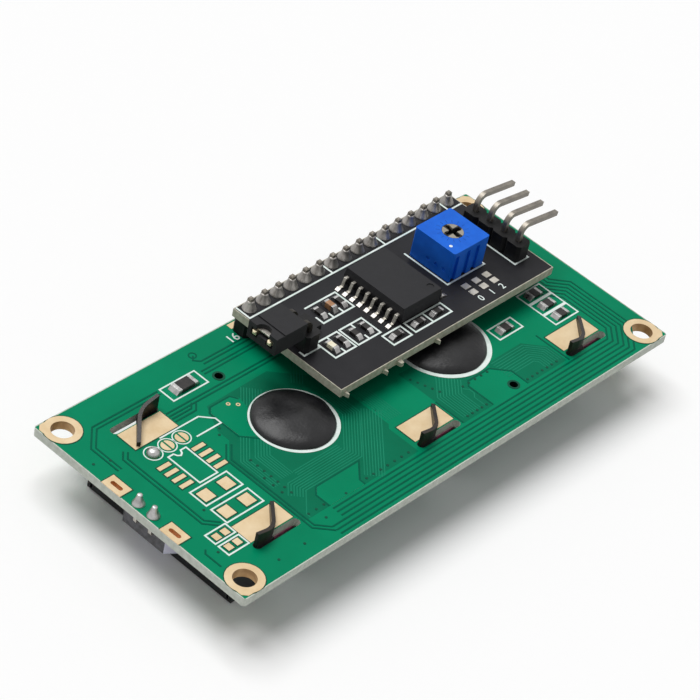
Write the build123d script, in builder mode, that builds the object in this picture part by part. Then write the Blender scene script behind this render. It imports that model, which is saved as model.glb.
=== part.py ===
from build123d import *
import math
import os

os.makedirs("parts", exist_ok=True)

# A two-line character display module, lying face down with its back up. A folded bezel
# holds the glass and the backlight on the front of a long board, and a serial adapter
# board stands on the sixteen header pins at the back.
#
# The origin is the centre of the four mounting holes, on the display board's front face.
# X runs along the board, Y across it towards the header, and +Z out of its back.

# Display board
board_length = 80.0
board_width = 36.0
board_thickness = 1.2
board_corner_radius = 0.5
plating = 0.05
mount_inset = 2.5
mount_hole_radius = 1.5
mount_ring_radius = 2.45
mount_corner_gap = 0.15
mount_corner_cut = 0.9
spare_hole_radius = 0.55
spare_hole_share = 0.375
spare_far_inset = 6.7
spare_near_inset = 5.8

# Sides of the small round outlines, which keep the facets few
ring_sides = 24
hole_sides = 16
slot_end_sides = 12
solder_sides = 8

# Folded bezel: one sheet, with a window in its face and walls that reach the board
bezel_end_margin = 4.4
bezel_near_margin = 5.15
bezel_far_margin = 6.05
bezel_depth = 6.8
sheet = 0.5
bezel_inside_radius = 0.1
window_end_frame = 3.35
window_near_frame = 5.75
window_far_frame = 4.85
window_corner_radius = 1.0
window_bevel = 0.3
bead_inset = 1.4
bead_end_inset = 2.6
bead_width = 0.8
bead_depth = 0.2
corner_slit = 0.3

# Bezel tabs: the neck stands in a slot of the board and the wing is folded over it
tab_end_inset = 6.4
tab_count = 3
tab_neck = 3.0
tab_fold_inset = 0.7
tab_wing = 5.2
tab_fold_angle = 46.0
tab_bend_radius = 3.5
tab_height = 2.2
tab_end_height = 0.6
tab_end_gap = 0.15
tab_side_gap = 0.35
tab_pad_length = 7.2
tab_pad_width = 3.25
tab_pad_gap = 0.15

# Display stack, from the bezel's face back to the board
polariser_thickness = 0.2
glass_thickness = 1.1
film_thickness = 0.2
glass_end_gap = 0.2
glass_side_gap = 0.15
contact_ledge = 2.3
front_polariser_end_inset = 1.4
front_polariser_side_inset = 3.15
rear_polariser_inset = 0.5
strip_contact_width = 2.0
strip_contact_gap = 0.15
strip_contact_end_inset = 0.9
guide_end_gap = 0.6
guide_left_inset = 2.1

# Backlight holder, a tapered tongue that passes out through the bezel's short wall
tongue_y = -0.4
tongue_root_width = 11.2
tongue_end_width = 7.0
tongue_gap = 0.3
light_count = 2
light_spacing = 5.6
light_depth = 1.0
light_width = 3.0
light_height = 1.6
leg_inset = 1.1
leg_pitch = 2.54
leg_thickness = 0.3
leg_width = 0.5
leg_root = 1.6
leg_tongue_gap = 0.15
leg_bend_radius = 0.35
leg_above_board = 1.2
leg_hole_gap = 0.05
leg_solder_radius = 0.9
leg_solder_height = 1.5

# Slotted pads on either side of the backlight legs
slotted_pad_length = 3.2
slotted_pad_width = 2.05
slotted_pad_offset = 4.95
slotted_pad_edge_gap = 0.05
pad_slot_length = 1.9
pad_slot_width = 0.6

# Sixteen-way header, and the pins and blocks that share its pitch
pitch = 2.54
header_count = 16
header_end_inset = 8.0
header_edge_inset = 2.5
strip_height = 2.5
strip_notch = 0.6
pin_side = 0.64
pin_point = 0.18
pin_hole_gap = 0.04
header_pin_above = 1.9
header_pin_below = 1.3
header_solder_radius = 1.05
header_solder_height = 1.35
front_solder_height = 1.0
solder_skin = 0.05
under_solder_radius = 0.95
under_solder_height = 0.7

# Adapter board, with the stubs where it was broken from its panel
adapter_end_margin = 0.38
adapter_thickness = 1.2
adapter_header_inset = 1.2
stub_reach = 0.7
stub_thickness = 0.6
stub_taper = 75.0
narrow_stub = 0.5
wide_stub = 0.8

# Expander chip with gull-wing leads, placed from the adapter's centre
expander_x = -1.45
expander_header_gap = 3.35
expander_length = 10.3
expander_width = 7.5
expander_height = 2.3
expander_standoff = 0.15
expander_draft = 8.0
expander_dimple_radius = 0.5
expander_dimple_depth = 0.12
expander_dimple_inset_x = 1.05
expander_dimple_inset_y = 1.3
lead_pitch = 1.27
lead_rows = 8
lead_thickness = 0.25
lead_width = 0.42
lead_shoulder = 0.5
lead_run = 0.35
lead_foot = 0.55
toe_solder_length = 0.6
toe_solder_width = 0.62

# Trimmer with a slotted rotor that turns in its case
trimmer_x = 9.8
trimmer_y = 0.15
trimmer_side = 7.0
trimmer_height = 4.7
trimmer_edge_radius = 0.3
trimmer_wall = 0.5
trimmer_base_thickness = 0.8
rotor_radius = 1.45
rotor_running_gap = 0.05
rotor_flange_radius = 2.5
rotor_flange_height = 1.2
rotor_end_gap = 0.1
rotor_slot_width = 0.65
rotor_slot_depth = 1.3
rotor_slot_length = 2.5
rotor_slot_angle = -10.0
trimmer_groove_width = 0.9
trimmer_groove_depth = 0.35
trimmer_groove_top = 0.7
trimmer_groove_places = [-2.8, -0.55, 1.3]
trimmer_mark_radius = 0.3
trimmer_mark_depth = 0.12
trimmer_mark_height = 1.5
trimmer_mark_places = [-2.3, -0.95, 0.45]
trimmer_leg_side = 0.45
trimmer_leg_below = 0.9

# Four-pin header: its pins turn outwards over the adapter's right-hand end
io_inset = 2.45
io_y = -0.9
io_count = 4
io_rise = 4.92
io_reach = 7.5
io_droop = 1.07
pin_tail = 0.8
pin_bend_radius = 1.2

# Two-pin header over the left-hand end, and the cap that slides on to its pins
jumper_inset = 2.4
jumper_y = 0.37
jumper_count = 2
jumper_rise = 4.1
jumper_reach = 7.65
cap_length = 5.5
cap_width = 4.8
cap_height = 2.54
cap_tip_inset = 0.2
cap_notch_radius = 1.1
cap_groove_inset = 1.4
cap_groove_width = 0.3
cap_groove_depth = 0.15
clip_thickness = 0.2
clip_gap = 0.06
clip_length = 3.6
clip_end_inset = 0.4

# Chip parts: length, width and height, and the length of each metal end
chip_solder_length = 0.45
load_chip_length = 3.2
load_chip_width = 1.6
load_chip_height = 0.6
load_chip_end = 0.5
board_chip_length = 2.0
board_chip_width = 1.25
board_chip_height = 0.5
board_chip_end = 0.4
load_chip_share = 0.4975
load_chip_inset = 5.5
lone_chip_share = 0.56
lone_chip_rise = 4.3
chip_trio_share = 0.775
chip_trio_rises = [1.85, 4.2, 6.6]
small_chip_length = 1.6
small_chip_width = 0.8
small_chip_height = 0.45
small_chip_end = 0.3
small_row_gap = 1.1
small_row_inset = 2.95
capacitor_height = 0.8
power_light_height = 0.6

# Switch transistor with three leads, placed from the adapter's centre
switch_x = -15.25
switch_y = 1.35
switch_length = 2.9
switch_width = 1.3
switch_height = 1.0
switch_draft = 8.0
switch_lead_pitch = 0.95
switch_lead_width = 0.4
switch_lead_thickness = 0.14
switch_lead_shoulder = 0.15
switch_lead_run = 0.13
switch_lead_foot = 0.27

# Driver blobs, flat domes of resin over the bare chips
blob_height = 1.3
blob_tab_inset = 1.4
left_blob_radius = 5.5
left_blob_y = 0.05
right_blob_radius = 6.2
right_blob_y = -1.1

# The bands of a dome, each as its share of the height and of the radius
dome_bands = [(0, 1), (0.4, 0.97), (0.8, 0.74), (1, 0.3)]

# Bare pads of the display board's back
round_pad_radius = 0.875
split_gap = 0.25
split_pad_spacing = 2.4
split_pad_count = 3
footprint_inset = 10.9
dome_height = 0.7
chip_pad_length = 2.0
chip_pad_width = 0.62
chip_pad_span = 5.8
chip_pad_rows = 4
square_pad = 1.75
square_pad_span = 3.43
square_footprint_inset = 10.32
footprint_room_shares = [0.125, 0.186, 0.233, 0.257]
small_pad_length = 0.95
small_pad_width = 1.0
small_pad_span = 1.42
small_footprint_gap = 1.86
small_footprint_drops = [0.1, 2.15]
address_pad_length = 1.1
address_pad_width = 0.95
address_pad_spacing_x = 2.08
address_pad_spacing_y = 1.35
address_x = 9.83
address_row_rise = 0.63

# Levels along Z
pad_top = board_thickness + plating
lid_inside = -(bezel_depth - sheet)
front_glass_front = lid_inside + polariser_thickness
front_glass_back = front_glass_front + glass_thickness
rear_glass_back = front_glass_back + glass_thickness
rear_polariser_back = rear_glass_back + polariser_thickness
guide_front = rear_polariser_back + film_thickness
guide_back = -film_thickness
guide_thickness = guide_back - guide_front
adapter_under = board_thickness + strip_height
adapter_top = adapter_under + adapter_thickness

# Places that several pieces share
bezel_length = board_length - 2 * bezel_end_margin
bezel_width = board_width - bezel_near_margin - bezel_far_margin
bezel_shift_y = (bezel_near_margin - bezel_far_margin) / 2
tab_spacing = (bezel_length - 2 * tab_end_inset) / (tab_count - 1)
window_length = bezel_length - 2 * window_end_frame
window_width = bezel_width - window_near_frame - window_far_frame
window_y = bezel_shift_y + (window_near_frame - window_far_frame) / 2
mount_spacing_x = board_length - 2 * mount_inset
mount_spacing_y = board_width - 2 * mount_inset
slot_length = 2 * (tab_fold_inset + tab_neck + tab_end_gap)
slot_width = sheet + 2 * tab_side_gap
slot_row_offset = (bezel_width - sheet) / 2
pad_row_offset = slot_row_offset - slot_width / 2 - tab_pad_gap - tab_pad_width / 2
inside_length = bezel_length - 2 * sheet
inside_width = bezel_width - 2 * sheet
glass_length = inside_length - 2 * glass_end_gap
front_glass_width = inside_width - 2 * glass_side_gap
rear_glass_width = front_glass_width - 2 * contact_ledge
contact_offset = rear_glass_width / 2 + strip_contact_gap + strip_contact_width / 2
guide_left = -bezel_length / 2 + guide_left_inset
guide_right = inside_length / 2 - guide_end_gap
guide_length = guide_right - guide_left
guide_x = (guide_left + guide_right) / 2
leg_x = -board_length / 2 + leg_inset
leg_z = (guide_front + guide_back) / 2
tongue_end = leg_x + leg_thickness / 2 + leg_tongue_gap
slotted_pad_x = -board_length / 2 + slotted_pad_edge_gap + slotted_pad_width / 2
header_length = header_count * pitch
header_x = board_length / 2 - header_end_inset - (header_count - 1) * pitch / 2
header_y = board_width / 2 - header_edge_inset
adapter_length = header_length + 2 * adapter_end_margin
adapter_width = (
    adapter_header_inset + expander_header_gap + expander_length + small_row_gap + small_row_inset
)
expander_y = adapter_width / 2 - adapter_header_inset - expander_header_gap - expander_length / 2
small_row_y = -adapter_width / 2 + small_row_inset
adapter_y = header_y + adapter_header_inset - adapter_width / 2
solder_tip_radius = pin_side * math.sqrt(2) / 2 + solder_skin
pin_hole_side = pin_side + 2 * pin_hole_gap
blob_x = tab_spacing / 2 - blob_tab_inset

# The footprints at the left end share the room between the two rows of tab pads
far_pad_edge = bezel_shift_y + pad_row_offset - tab_pad_width / 2
near_pad_edge = bezel_shift_y - pad_row_offset + tab_pad_width / 2
chip_footprint_height = (chip_pad_rows - 1) * lead_pitch + chip_pad_width
footprint_room = (
    far_pad_edge - near_pad_edge - 2 * round_pad_radius - chip_footprint_height - 2 * square_pad
)
split_gap_y, chip_gap_y, square_gap_y, row_gap_y = [
    share * footprint_room for share in footprint_room_shares
]
split_pad_x = -board_length / 2 + footprint_inset
split_pad_y = far_pad_edge - split_gap_y - round_pad_radius
chip_footprint_y = split_pad_y - round_pad_radius - chip_gap_y - chip_footprint_height / 2
upper_square_y = chip_footprint_y - chip_footprint_height / 2 - square_gap_y - square_pad / 2
square_footprint_rows = [upper_square_y, upper_square_y - row_gap_y - square_pad]
square_footprint_x = -board_length / 2 + square_footprint_inset
small_footprint_x = -tab_spacing - tab_pad_length / 2 - small_footprint_gap
small_footprint_rows = [near_pad_edge - drop for drop in small_footprint_drops]

# Planes of the two backs
board_back = Plane((0, 0, board_thickness))
adapter_back = Plane((header_x, adapter_y, adapter_top))
adapter_front = Plane((header_x, adapter_y, adapter_under))
header_on_adapter_y = header_y - adapter_y
io_x = adapter_length / 2 - io_inset
jumper_x = -adapter_length / 2 + jumper_inset
io_rows = [io_y + (row - (io_count - 1) / 2) * pitch for row in range(io_count)]
jumper_rows = [jumper_y + (row - (jumper_count - 1) / 2) * pitch for row in range(jumper_count)]
trimmer_legs_at = [(-pitch, pitch / 2), (0, -pitch / 2), (pitch, pitch / 2)]
leg_rows = [tongue_y - leg_pitch / 2, tongue_y + leg_pitch / 2]

# Two spare holes near the long edges, and the circuit's chip places
board_end = board_length / 2
spare_holes = [
    (-spare_hole_share * board_end, board_width / 2 - spare_far_inset),
    (spare_hole_share * board_end, -board_width / 2 + spare_near_inset),
]
load_chip_places = [Location((-load_chip_share * board_end, board_width / 2 - load_chip_inset, 0))]
lone_chip = Location((lone_chip_share * board_end, near_pad_edge + lone_chip_rise, 0))
chip_trio = [
    Location((chip_trio_share * board_end, near_pad_edge + rise, 0)) for rise in chip_trio_rises
]
board_chip_places = [lone_chip, *chip_trio]
upright = (0, 0, 90)
resistor_places = [
    Location((-12.3, 2.35, 0), upright),
    Location((-8.5, 2.35, 0), upright),
    Location((-13.9, -3.15, 0), upright),
    Location((-11.55, -3.15, 0), upright),
    Location((-9.5, -3.15, 0), upright),
    Location((-7.15, small_row_y, 0)),
    Location((-2.95, small_row_y, 0)),
    Location((0.55, small_row_y, 0)),
]
capacitor_places = [Location((-10.4, 2.35, 0), upright)]
power_light_places = [Location((-15.85, -3.15, 0), upright)]
stubs = [(-19.85, narrow_stub), (-12.65, narrow_stub), (-9.85, wide_stub), (-2.65, narrow_stub)]


# A row of header sockets in plan, notched between the ways, with a square hole for each pin
def notched_row(count):
    Rectangle(count * pitch, pitch)
    with GridLocations(pitch, pitch, count + 1, 2):
        Rectangle(strip_notch, strip_notch, rotation=45, mode=Mode.SUBTRACT)
    with GridLocations(pitch, 0, count, 1):
        Rectangle(pin_side, pin_side, mode=Mode.SUBTRACT)


# A slot in plan, its round ends drawn with a few straight sides
def slot_outline(length, width, mode=Mode.ADD, turn=0):
    Rectangle(length - width, width, rotation=turn, mode=mode)
    with PolarLocations((length - width) / 2, 2, start_angle=turn):
        RegularPolygon(width / 2, slot_end_sides, mode=mode)


# A many-sided band standing on Z = 0 that tapers from one radius to another
def tapered_band(lower_radius, upper_radius, height, sides):
    narrowing = (lower_radius - upper_radius) * math.cos(math.pi / sides)
    with BuildPart() as band:
        with BuildSketch():
            RegularPolygon(lower_radius, sides)
        extrude(amount=height, taper=math.degrees(math.atan2(narrowing, height)))
    return band.part


# Square pins that rise at foot_x on the adapter and turn to run way (1 or -1) along X
def bent_pins(foot_x, rows, way, rise, reach, droop):
    with BuildPart() as pins:
        for row in rows:
            foot = adapter_back.origin + Vector(foot_x, row, 0)
            with BuildSketch(Plane(foot, x_dir=(way, 0, 0), z_dir=(0, -way, 0))):
                with BuildLine():
                    FilletPolyline(
                        (0, -adapter_thickness - pin_tail),
                        (0, rise),
                        (reach, rise - droop),
                        radius=pin_bend_radius,
                    )
                trace(line_width=pin_side)
            extrude(amount=pin_side / 2, both=True)
        tips = pins.faces().sort_by(Axis((0, 0, 0), (way, 0, 0)))[-len(rows):]
        tails = pins.faces().sort_by(Axis.Z)[:len(rows)]
        chamfer((tips + tails).edges(), pin_point)
    return pins


# A gull-wing lead in the XZ plane: out from the body at height rise, down to a foot on Z = 0
def gull_wing(start, rise, shoulder, run, foot, thickness, width):
    half = thickness / 2
    slope = math.atan2(rise - half, run)
    step = half * math.tan(slope / 2)
    knee = start + shoulder
    heel = knee + run
    with BuildPart() as lead:
        with BuildSketch(Plane.XZ):
            with BuildLine():
                Polyline(
                    (start, rise + half),
                    (knee + step, rise + half),
                    (heel + step, thickness),
                    (heel + foot, thickness),
                    (heel + foot, 0),
                    (heel - step, 0),
                    (knee - step, rise - half),
                    (start, rise - half),
                    close=True,
                )
            make_face()
        extrude(amount=width / 2, both=True)
    return lead.part


# The bodies of a group of chip parts, without their metal ends
def chip_bodies(plane, places, length, width, height, end):
    with BuildPart() as bodies:
        with Locations(plane):
            with Locations(*places):
                Box(length - 2 * end, width, height, align=(Align.CENTER, Align.CENTER, Align.MIN))
    return bodies


# Their metal ends, each with the solder that slopes down from it to the pad
def chip_ends(plane, places, length, width, height, end):
    with BuildPart() as one_end:
        with BuildSketch(Plane.XZ):
            with BuildLine():
                Polyline(
                    (length / 2 - end, 0),
                    (length / 2 + chip_solder_length, 0),
                    (length / 2, height),
                    (length / 2 - end, height),
                    close=True,
                )
            make_face()
        extrude(amount=width / 2, both=True)
    with BuildPart() as ends:
        with Locations(plane):
            with Locations(*places):
                with PolarLocations(0, 2):
                    add(one_end.part)
    return ends


# A low dome standing at height z, in three bands: a rim, a shoulder and a flat crown
def dome(x, y, z, radius, height, sides):
    with BuildPart() as cap:
        for lower, upper in zip(dome_bands, dome_bands[1:]):
            rise = (upper[0] - lower[0]) * height
            with Locations((x, y, z + lower[0] * height)):
                add(tapered_band(lower[1] * radius, upper[1] * radius, rise, sides))
    return cap


# Display board with its mounting holes, tab slots, header holes and backlight holes
barrel_radius = mount_hole_radius + plating
plated_slot = (pad_slot_length + 2 * plating, pad_slot_width + 2 * plating)
with BuildPart() as lcd_board:
    with BuildSketch():
        RectangleRounded(board_length, board_width, board_corner_radius)
        with GridLocations(mount_spacing_x, mount_spacing_y, 2, 2):
            RegularPolygon(barrel_radius, hole_sides, major_radius=False, mode=Mode.SUBTRACT)
        with Locations((0, bezel_shift_y)):
            with GridLocations(tab_spacing, 2 * slot_row_offset, tab_count, 2):
                slot_outline(slot_length, slot_width, Mode.SUBTRACT)
        with Locations((header_x, header_y)):
            with GridLocations(pitch, 0, header_count, 1):
                Rectangle(pin_hole_side, pin_hole_side, mode=Mode.SUBTRACT)
        with Locations(*[(leg_x, row) for row in leg_rows]):
            Rectangle(
                leg_thickness + 2 * leg_hole_gap,
                leg_width + 2 * leg_hole_gap,
                mode=Mode.SUBTRACT,
            )
        with Locations((slotted_pad_x, tongue_y)):
            with GridLocations(0, 2 * slotted_pad_offset, 1, 2):
                slot_outline(*plated_slot, Mode.SUBTRACT, 90)
        with Locations(*spare_holes):
            RegularPolygon(spare_hole_radius, hole_sides, mode=Mode.SUBTRACT)
    extrude(amount=board_thickness)
lcd_board.part.label = "lcd_board"
export_step(lcd_board.part, "parts/lcd_board.step")

# Plated mounting holes: a barrel through the board with a ring on either face, whose gold
# fills the corner of the board
corner_side = mount_ring_radius - mount_corner_gap
with BuildPart() as mounting_hole_rings:
    with BuildSketch():
        with GridLocations(mount_spacing_x, mount_spacing_y, 2, 2):
            RegularPolygon(barrel_radius, hole_sides, major_radius=False)
    extrude(amount=board_thickness)
    with BuildSketch(Plane.XY.offset(-plating), board_back):
        with GridLocations(mount_spacing_x, mount_spacing_y, 2, 2):
            RegularPolygon(mount_ring_radius, ring_sides)
        with GridLocations(mount_spacing_x + corner_side, mount_spacing_y + corner_side, 2, 2):
            Rectangle(corner_side, corner_side)
        with GridLocations(mount_spacing_x + 2 * corner_side, mount_spacing_y + 2 * corner_side, 2, 2):
            Rectangle(mount_corner_cut, mount_corner_cut, rotation=45, mode=Mode.SUBTRACT)
    extrude(amount=plating)
    with GridLocations(mount_spacing_x, mount_spacing_y, 2, 2):
        Hole(mount_hole_radius)
mounting_hole_rings.part.label = "mounting_hole_rings"
export_step(mounting_hole_rings.part, "parts/mounting_hole_rings.step")

# Plated slots at the short edge, with a pad on either face
with BuildPart() as slotted_pads:
    with BuildSketch():
        with Locations((slotted_pad_x, tongue_y)):
            with GridLocations(0, 2 * slotted_pad_offset, 1, 2):
                slot_outline(*plated_slot, Mode.ADD, 90)
    extrude(amount=board_thickness)
    with BuildSketch(Plane.XY.offset(-plating), board_back):
        with Locations((slotted_pad_x, tongue_y)):
            with GridLocations(0, 2 * slotted_pad_offset, 1, 2):
                Rectangle(slotted_pad_width, slotted_pad_length)
    extrude(amount=plating)
    with BuildSketch(Plane.XY.offset(-plating)):
        with Locations((slotted_pad_x, tongue_y)):
            with GridLocations(0, 2 * slotted_pad_offset, 1, 2):
                slot_outline(pad_slot_length, pad_slot_width, Mode.ADD, 90)
    extrude(amount=board_thickness + 2 * plating, mode=Mode.SUBTRACT)
slotted_pads.part.label = "slotted_pads"
export_step(slotted_pads.part, "parts/slotted_pads.step")

# Bare pads under the six folded tabs
with BuildPart() as tab_pads:
    with BuildSketch(board_back):
        with Locations((0, bezel_shift_y)):
            with GridLocations(tab_spacing, 2 * pad_row_offset, tab_count, 2):
                Rectangle(tab_pad_length, tab_pad_width)
    extrude(amount=plating)
tab_pads.part.label = "tab_pads"
export_step(tab_pads.part, "parts/tab_pads.step")

# Empty footprints: an eight-pad chip, two square pairs and two small pairs
with BuildPart() as circuit_pads:
    with BuildSketch(board_back):
        with Locations((split_pad_x, chip_footprint_y)):
            with GridLocations(chip_pad_span, lead_pitch, 2, chip_pad_rows):
                Rectangle(chip_pad_length, chip_pad_width)
        for row in square_footprint_rows:
            with Locations((square_footprint_x, row)):
                with GridLocations(square_pad_span, 0, 2, 1):
                    Rectangle(square_pad, square_pad)
        for row in small_footprint_rows:
            with Locations((small_footprint_x, row)):
                with GridLocations(small_pad_span, 0, 2, 1):
                    Rectangle(small_pad_length, small_pad_width)
    extrude(amount=plating)
circuit_pads.part.label = "circuit_pads"
export_step(circuit_pads.part, "parts/circuit_pads.step")

# Three round pads, each split down the middle so that a blob of solder can join it
with BuildPart() as split_pads:
    with BuildSketch(board_back):
        with Locations((split_pad_x, split_pad_y)):
            with GridLocations(split_pad_spacing, 0, split_pad_count, 1):
                RegularPolygon(round_pad_radius, hole_sides)
                Rectangle(split_gap, 2 * round_pad_radius, mode=Mode.SUBTRACT)
    extrude(amount=plating)
split_pads.part.label = "split_pads"
export_step(split_pads.part, "parts/split_pads.step")

# Solder over the left one of them
bridge_x = split_pad_x - split_pad_spacing * (split_pad_count - 1) / 2
bridge_solder = dome(bridge_x, split_pad_y, pad_top, round_pad_radius, dome_height, hole_sides)
bridge_solder.part.label = "bridge_solder"
export_step(bridge_solder.part, "parts/bridge_solder.step")

# One bezel tab about its slot's centre. The neck stands in the slot, the wing curls round
# beside it with its lower edge on the pad, and the top edge falls towards the wing's end
with BuildPart() as tab:
    with BuildSketch():
        with Locations((-tab_fold_inset - tab_neck / 2, 0)):
            Rectangle(tab_neck, sheet)
    extrude(amount=pad_top)
    with BuildSketch(Plane.XY.offset(pad_top)):
        with BuildLine():
            fold = Vector(-tab_fold_inset, 0)
            wing = Vector(tab_wing, 0).rotate(Axis.Z, tab_fold_angle)
            FilletPolyline(fold - Vector(tab_neck, 0), fold, fold + wing, radius=tab_bend_radius)
        trace(line_width=sheet)
    extrude(amount=tab_height - plating)
    with BuildSketch(Plane.XZ):
        with BuildLine():
            Polyline(
                (-tab_fold_inset - tab_neck, board_thickness + tab_height),
                ((fold + wing).X + sheet, board_thickness + tab_height),
                ((fold + wing).X + sheet, board_thickness + tab_end_height),
                close=True,
            )
        make_face()
    extrude(amount=2 * tab_wing, both=True, mode=Mode.SUBTRACT)

# Bezel: a shallow pan with a window, slit corners, a pressed bead along each long side, and
# a tab over each slot. Those of the far row are the near ones turned half round
with BuildPart() as bezel:
    with BuildSketch(Plane.XY.offset(-bezel_depth)):
        with Locations((0, bezel_shift_y)):
            Rectangle(bezel_length, bezel_width)
    extrude(amount=bezel_depth)
    fillet(bezel.faces().sort_by(Axis.Z)[0].edges(), sheet + bezel_inside_radius)
    offset(amount=-sheet, openings=bezel.faces().sort_by(Axis.Z)[-1])
    with BuildSketch(Plane.XY.offset(-bezel_depth)):
        with Locations((0, window_y)):
            RectangleRounded(window_length, window_width, window_corner_radius)
    extrude(amount=sheet, mode=Mode.SUBTRACT)
    chamfer(bezel.edges(Select.LAST).group_by(Axis.Z)[0], window_bevel)
    with BuildSketch(Plane.XY.offset(-bezel_depth)):
        with Locations((0, bezel_shift_y)):
            with GridLocations(0, bezel_width - 2 * bead_inset, 1, 2):
                slot_outline(bezel_length - 2 * bead_end_inset, bead_width)
    extrude(amount=bead_depth, mode=Mode.SUBTRACT)
    with BuildSketch(Plane.XY.offset(lid_inside)):
        with Locations((0, bezel_shift_y)):
            with GridLocations(0, bezel_width - 2 * bead_inset, 1, 2):
                slot_outline(bezel_length - 2 * bead_end_inset, bead_width)
    extrude(amount=bead_depth)
    with BuildSketch():
        with Locations((0, bezel_shift_y)):
            with GridLocations(bezel_length - sheet, inside_width - corner_slit, 2, 2):
                Rectangle(2 * sheet, corner_slit)
    extrude(amount=sheet + bezel_inside_radius - bezel_depth, mode=Mode.SUBTRACT)
    with BuildSketch():
        with Locations((-bezel_length / 2, tongue_y)):
            Rectangle(4 * sheet, tongue_root_width + 2 * tongue_gap)
    extrude(amount=guide_front - tongue_gap, mode=Mode.SUBTRACT)
    for side, turn in ((-1, 0), (1, 180)):
        with Locations(Location((0, bezel_shift_y + side * slot_row_offset, 0), (0, 0, turn))):
            with GridLocations(tab_spacing, 0, tab_count, 1):
                add(tab.part)
bezel.part.label = "bezel"
export_step(bezel.part, "parts/bezel.step")

# Polariser on the front glass, behind the window
with BuildPart() as front_polariser:
    with BuildSketch(Plane.XY.offset(lid_inside)):
        with Locations((0, bezel_shift_y)):
            Rectangle(
                glass_length - 2 * front_polariser_end_inset,
                front_glass_width - 2 * front_polariser_side_inset,
            )
    extrude(amount=polariser_thickness)
front_polariser.part.label = "front_polariser"
export_step(front_polariser.part, "parts/front_polariser.step")

# Front glass, whose two long ledges carry the contacts
with BuildPart() as front_glass:
    with BuildSketch(Plane.XY.offset(front_glass_front)):
        with Locations((0, bezel_shift_y)):
            Rectangle(glass_length, front_glass_width)
    extrude(amount=glass_thickness)
front_glass.part.label = "front_glass"
export_step(front_glass.part, "parts/front_glass.step")

# Rear glass, narrower by the ledges
with BuildPart() as rear_glass:
    with BuildSketch(Plane.XY.offset(front_glass_back)):
        with Locations((0, bezel_shift_y)):
            Rectangle(glass_length, rear_glass_width)
    extrude(amount=glass_thickness)
rear_glass.part.label = "rear_glass"
export_step(rear_glass.part, "parts/rear_glass.step")

# Polariser on the rear glass
with BuildPart() as rear_polariser:
    with BuildSketch(Plane.XY.offset(rear_glass_back)):
        with Locations((0, bezel_shift_y)):
            Rectangle(
                glass_length - 2 * rear_polariser_inset,
                rear_glass_width - 2 * rear_polariser_inset,
            )
    extrude(amount=polariser_thickness)
rear_polariser.part.label = "rear_polariser"
export_step(rear_polariser.part, "parts/rear_polariser.step")

# Diffuser, light guide and reflector, one outline in three layers
with BuildPart() as diffuser_film:
    with BuildSketch(Plane.XY.offset(rear_polariser_back)):
        with Locations((guide_x, bezel_shift_y)):
            Rectangle(guide_length, rear_glass_width)
    extrude(amount=film_thickness)
diffuser_film.part.label = "diffuser_film"
export_step(diffuser_film.part, "parts/diffuser_film.step")

with BuildPart() as light_guide:
    with BuildSketch(Plane.XY.offset(guide_front)):
        with Locations((guide_x, bezel_shift_y)):
            Rectangle(guide_length, rear_glass_width)
    extrude(amount=guide_thickness)
light_guide.part.label = "light_guide"
export_step(light_guide.part, "parts/light_guide.step")

with BuildPart() as reflector_film:
    with BuildSketch(Plane.XY.offset(guide_back)):
        with Locations((guide_x, bezel_shift_y)):
            Rectangle(guide_length, rear_glass_width)
    extrude(amount=film_thickness)
reflector_film.part.label = "reflector_film"
export_step(reflector_film.part, "parts/reflector_film.step")

# Backlight legs: flat pins that leave the tongue's end and turn up through the board
with BuildPart() as backlight_legs:
    for row in leg_rows:
        with BuildSketch(Plane((leg_x, row, 0), x_dir=(1, 0, 0), z_dir=(0, -1, 0))):
            with BuildLine():
                FilletPolyline(
                    (tongue_end - leg_x + leg_root, leg_z),
                    (0, leg_z),
                    (0, board_thickness + leg_above_board),
                    radius=leg_bend_radius,
                )
            trace(line_width=leg_thickness)
        extrude(amount=leg_width / 2, both=True)
backlight_legs.part.label = "backlight_legs"
export_step(backlight_legs.part, "parts/backlight_legs.step")

# Light chips at the guide's end, in pockets of the holder
with BuildPart() as backlight_leds:
    with Locations((guide_left, tongue_y, leg_z)):
        with GridLocations(0, light_spacing, 1, light_count):
            Box(light_depth, light_width, light_height, align=(Align.MAX, Align.CENTER, Align.CENTER))
backlight_leds.part.label = "backlight_leds"
export_step(backlight_leds.part, "parts/backlight_leds.step")

# Backlight holder: wide inside the bezel, tapered outside it
with BuildPart() as led_holder:
    with BuildSketch(Plane.XY.offset(guide_front)):
        with BuildLine():
            Polyline(
                (guide_left, tongue_y - tongue_root_width / 2),
                (guide_left, tongue_y + tongue_root_width / 2),
                (-bezel_length / 2, tongue_y + tongue_root_width / 2),
                (tongue_end, tongue_y + tongue_end_width / 2),
                (tongue_end, tongue_y - tongue_end_width / 2),
                (-bezel_length / 2, tongue_y - tongue_root_width / 2),
                close=True,
            )
        make_face()
    extrude(amount=guide_thickness)
    add(backlight_leds.part, mode=Mode.SUBTRACT)
    add(backlight_legs.part, mode=Mode.SUBTRACT)
led_holder.part.label = "led_holder"
export_step(led_holder.part, "parts/led_holder.step")

# Their solder on the display board's back
leg_solder_tip = math.hypot(leg_width, leg_thickness) / 2 + solder_skin
with BuildPart() as backlight_solder:
    with Locations(*[(leg_x, row, board_thickness) for row in leg_rows]):
        add(tapered_band(leg_solder_radius, leg_solder_tip, leg_solder_height, solder_sides))
    add(backlight_legs.part, mode=Mode.SUBTRACT)
backlight_solder.part.label = "backlight_solder"
export_step(backlight_solder.part, "parts/backlight_solder.step")


# A rubber contact strip between the board and the front glass, on one side of the guide
def contact_strip(side):
    with BuildPart() as strip:
        with BuildSketch(Plane.XY.offset(front_glass_back)):
            with Locations((0, bezel_shift_y + side * contact_offset)):
                Rectangle(glass_length - 2 * strip_contact_end_inset, strip_contact_width)
        extrude(amount=-front_glass_back)
    return strip


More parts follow.
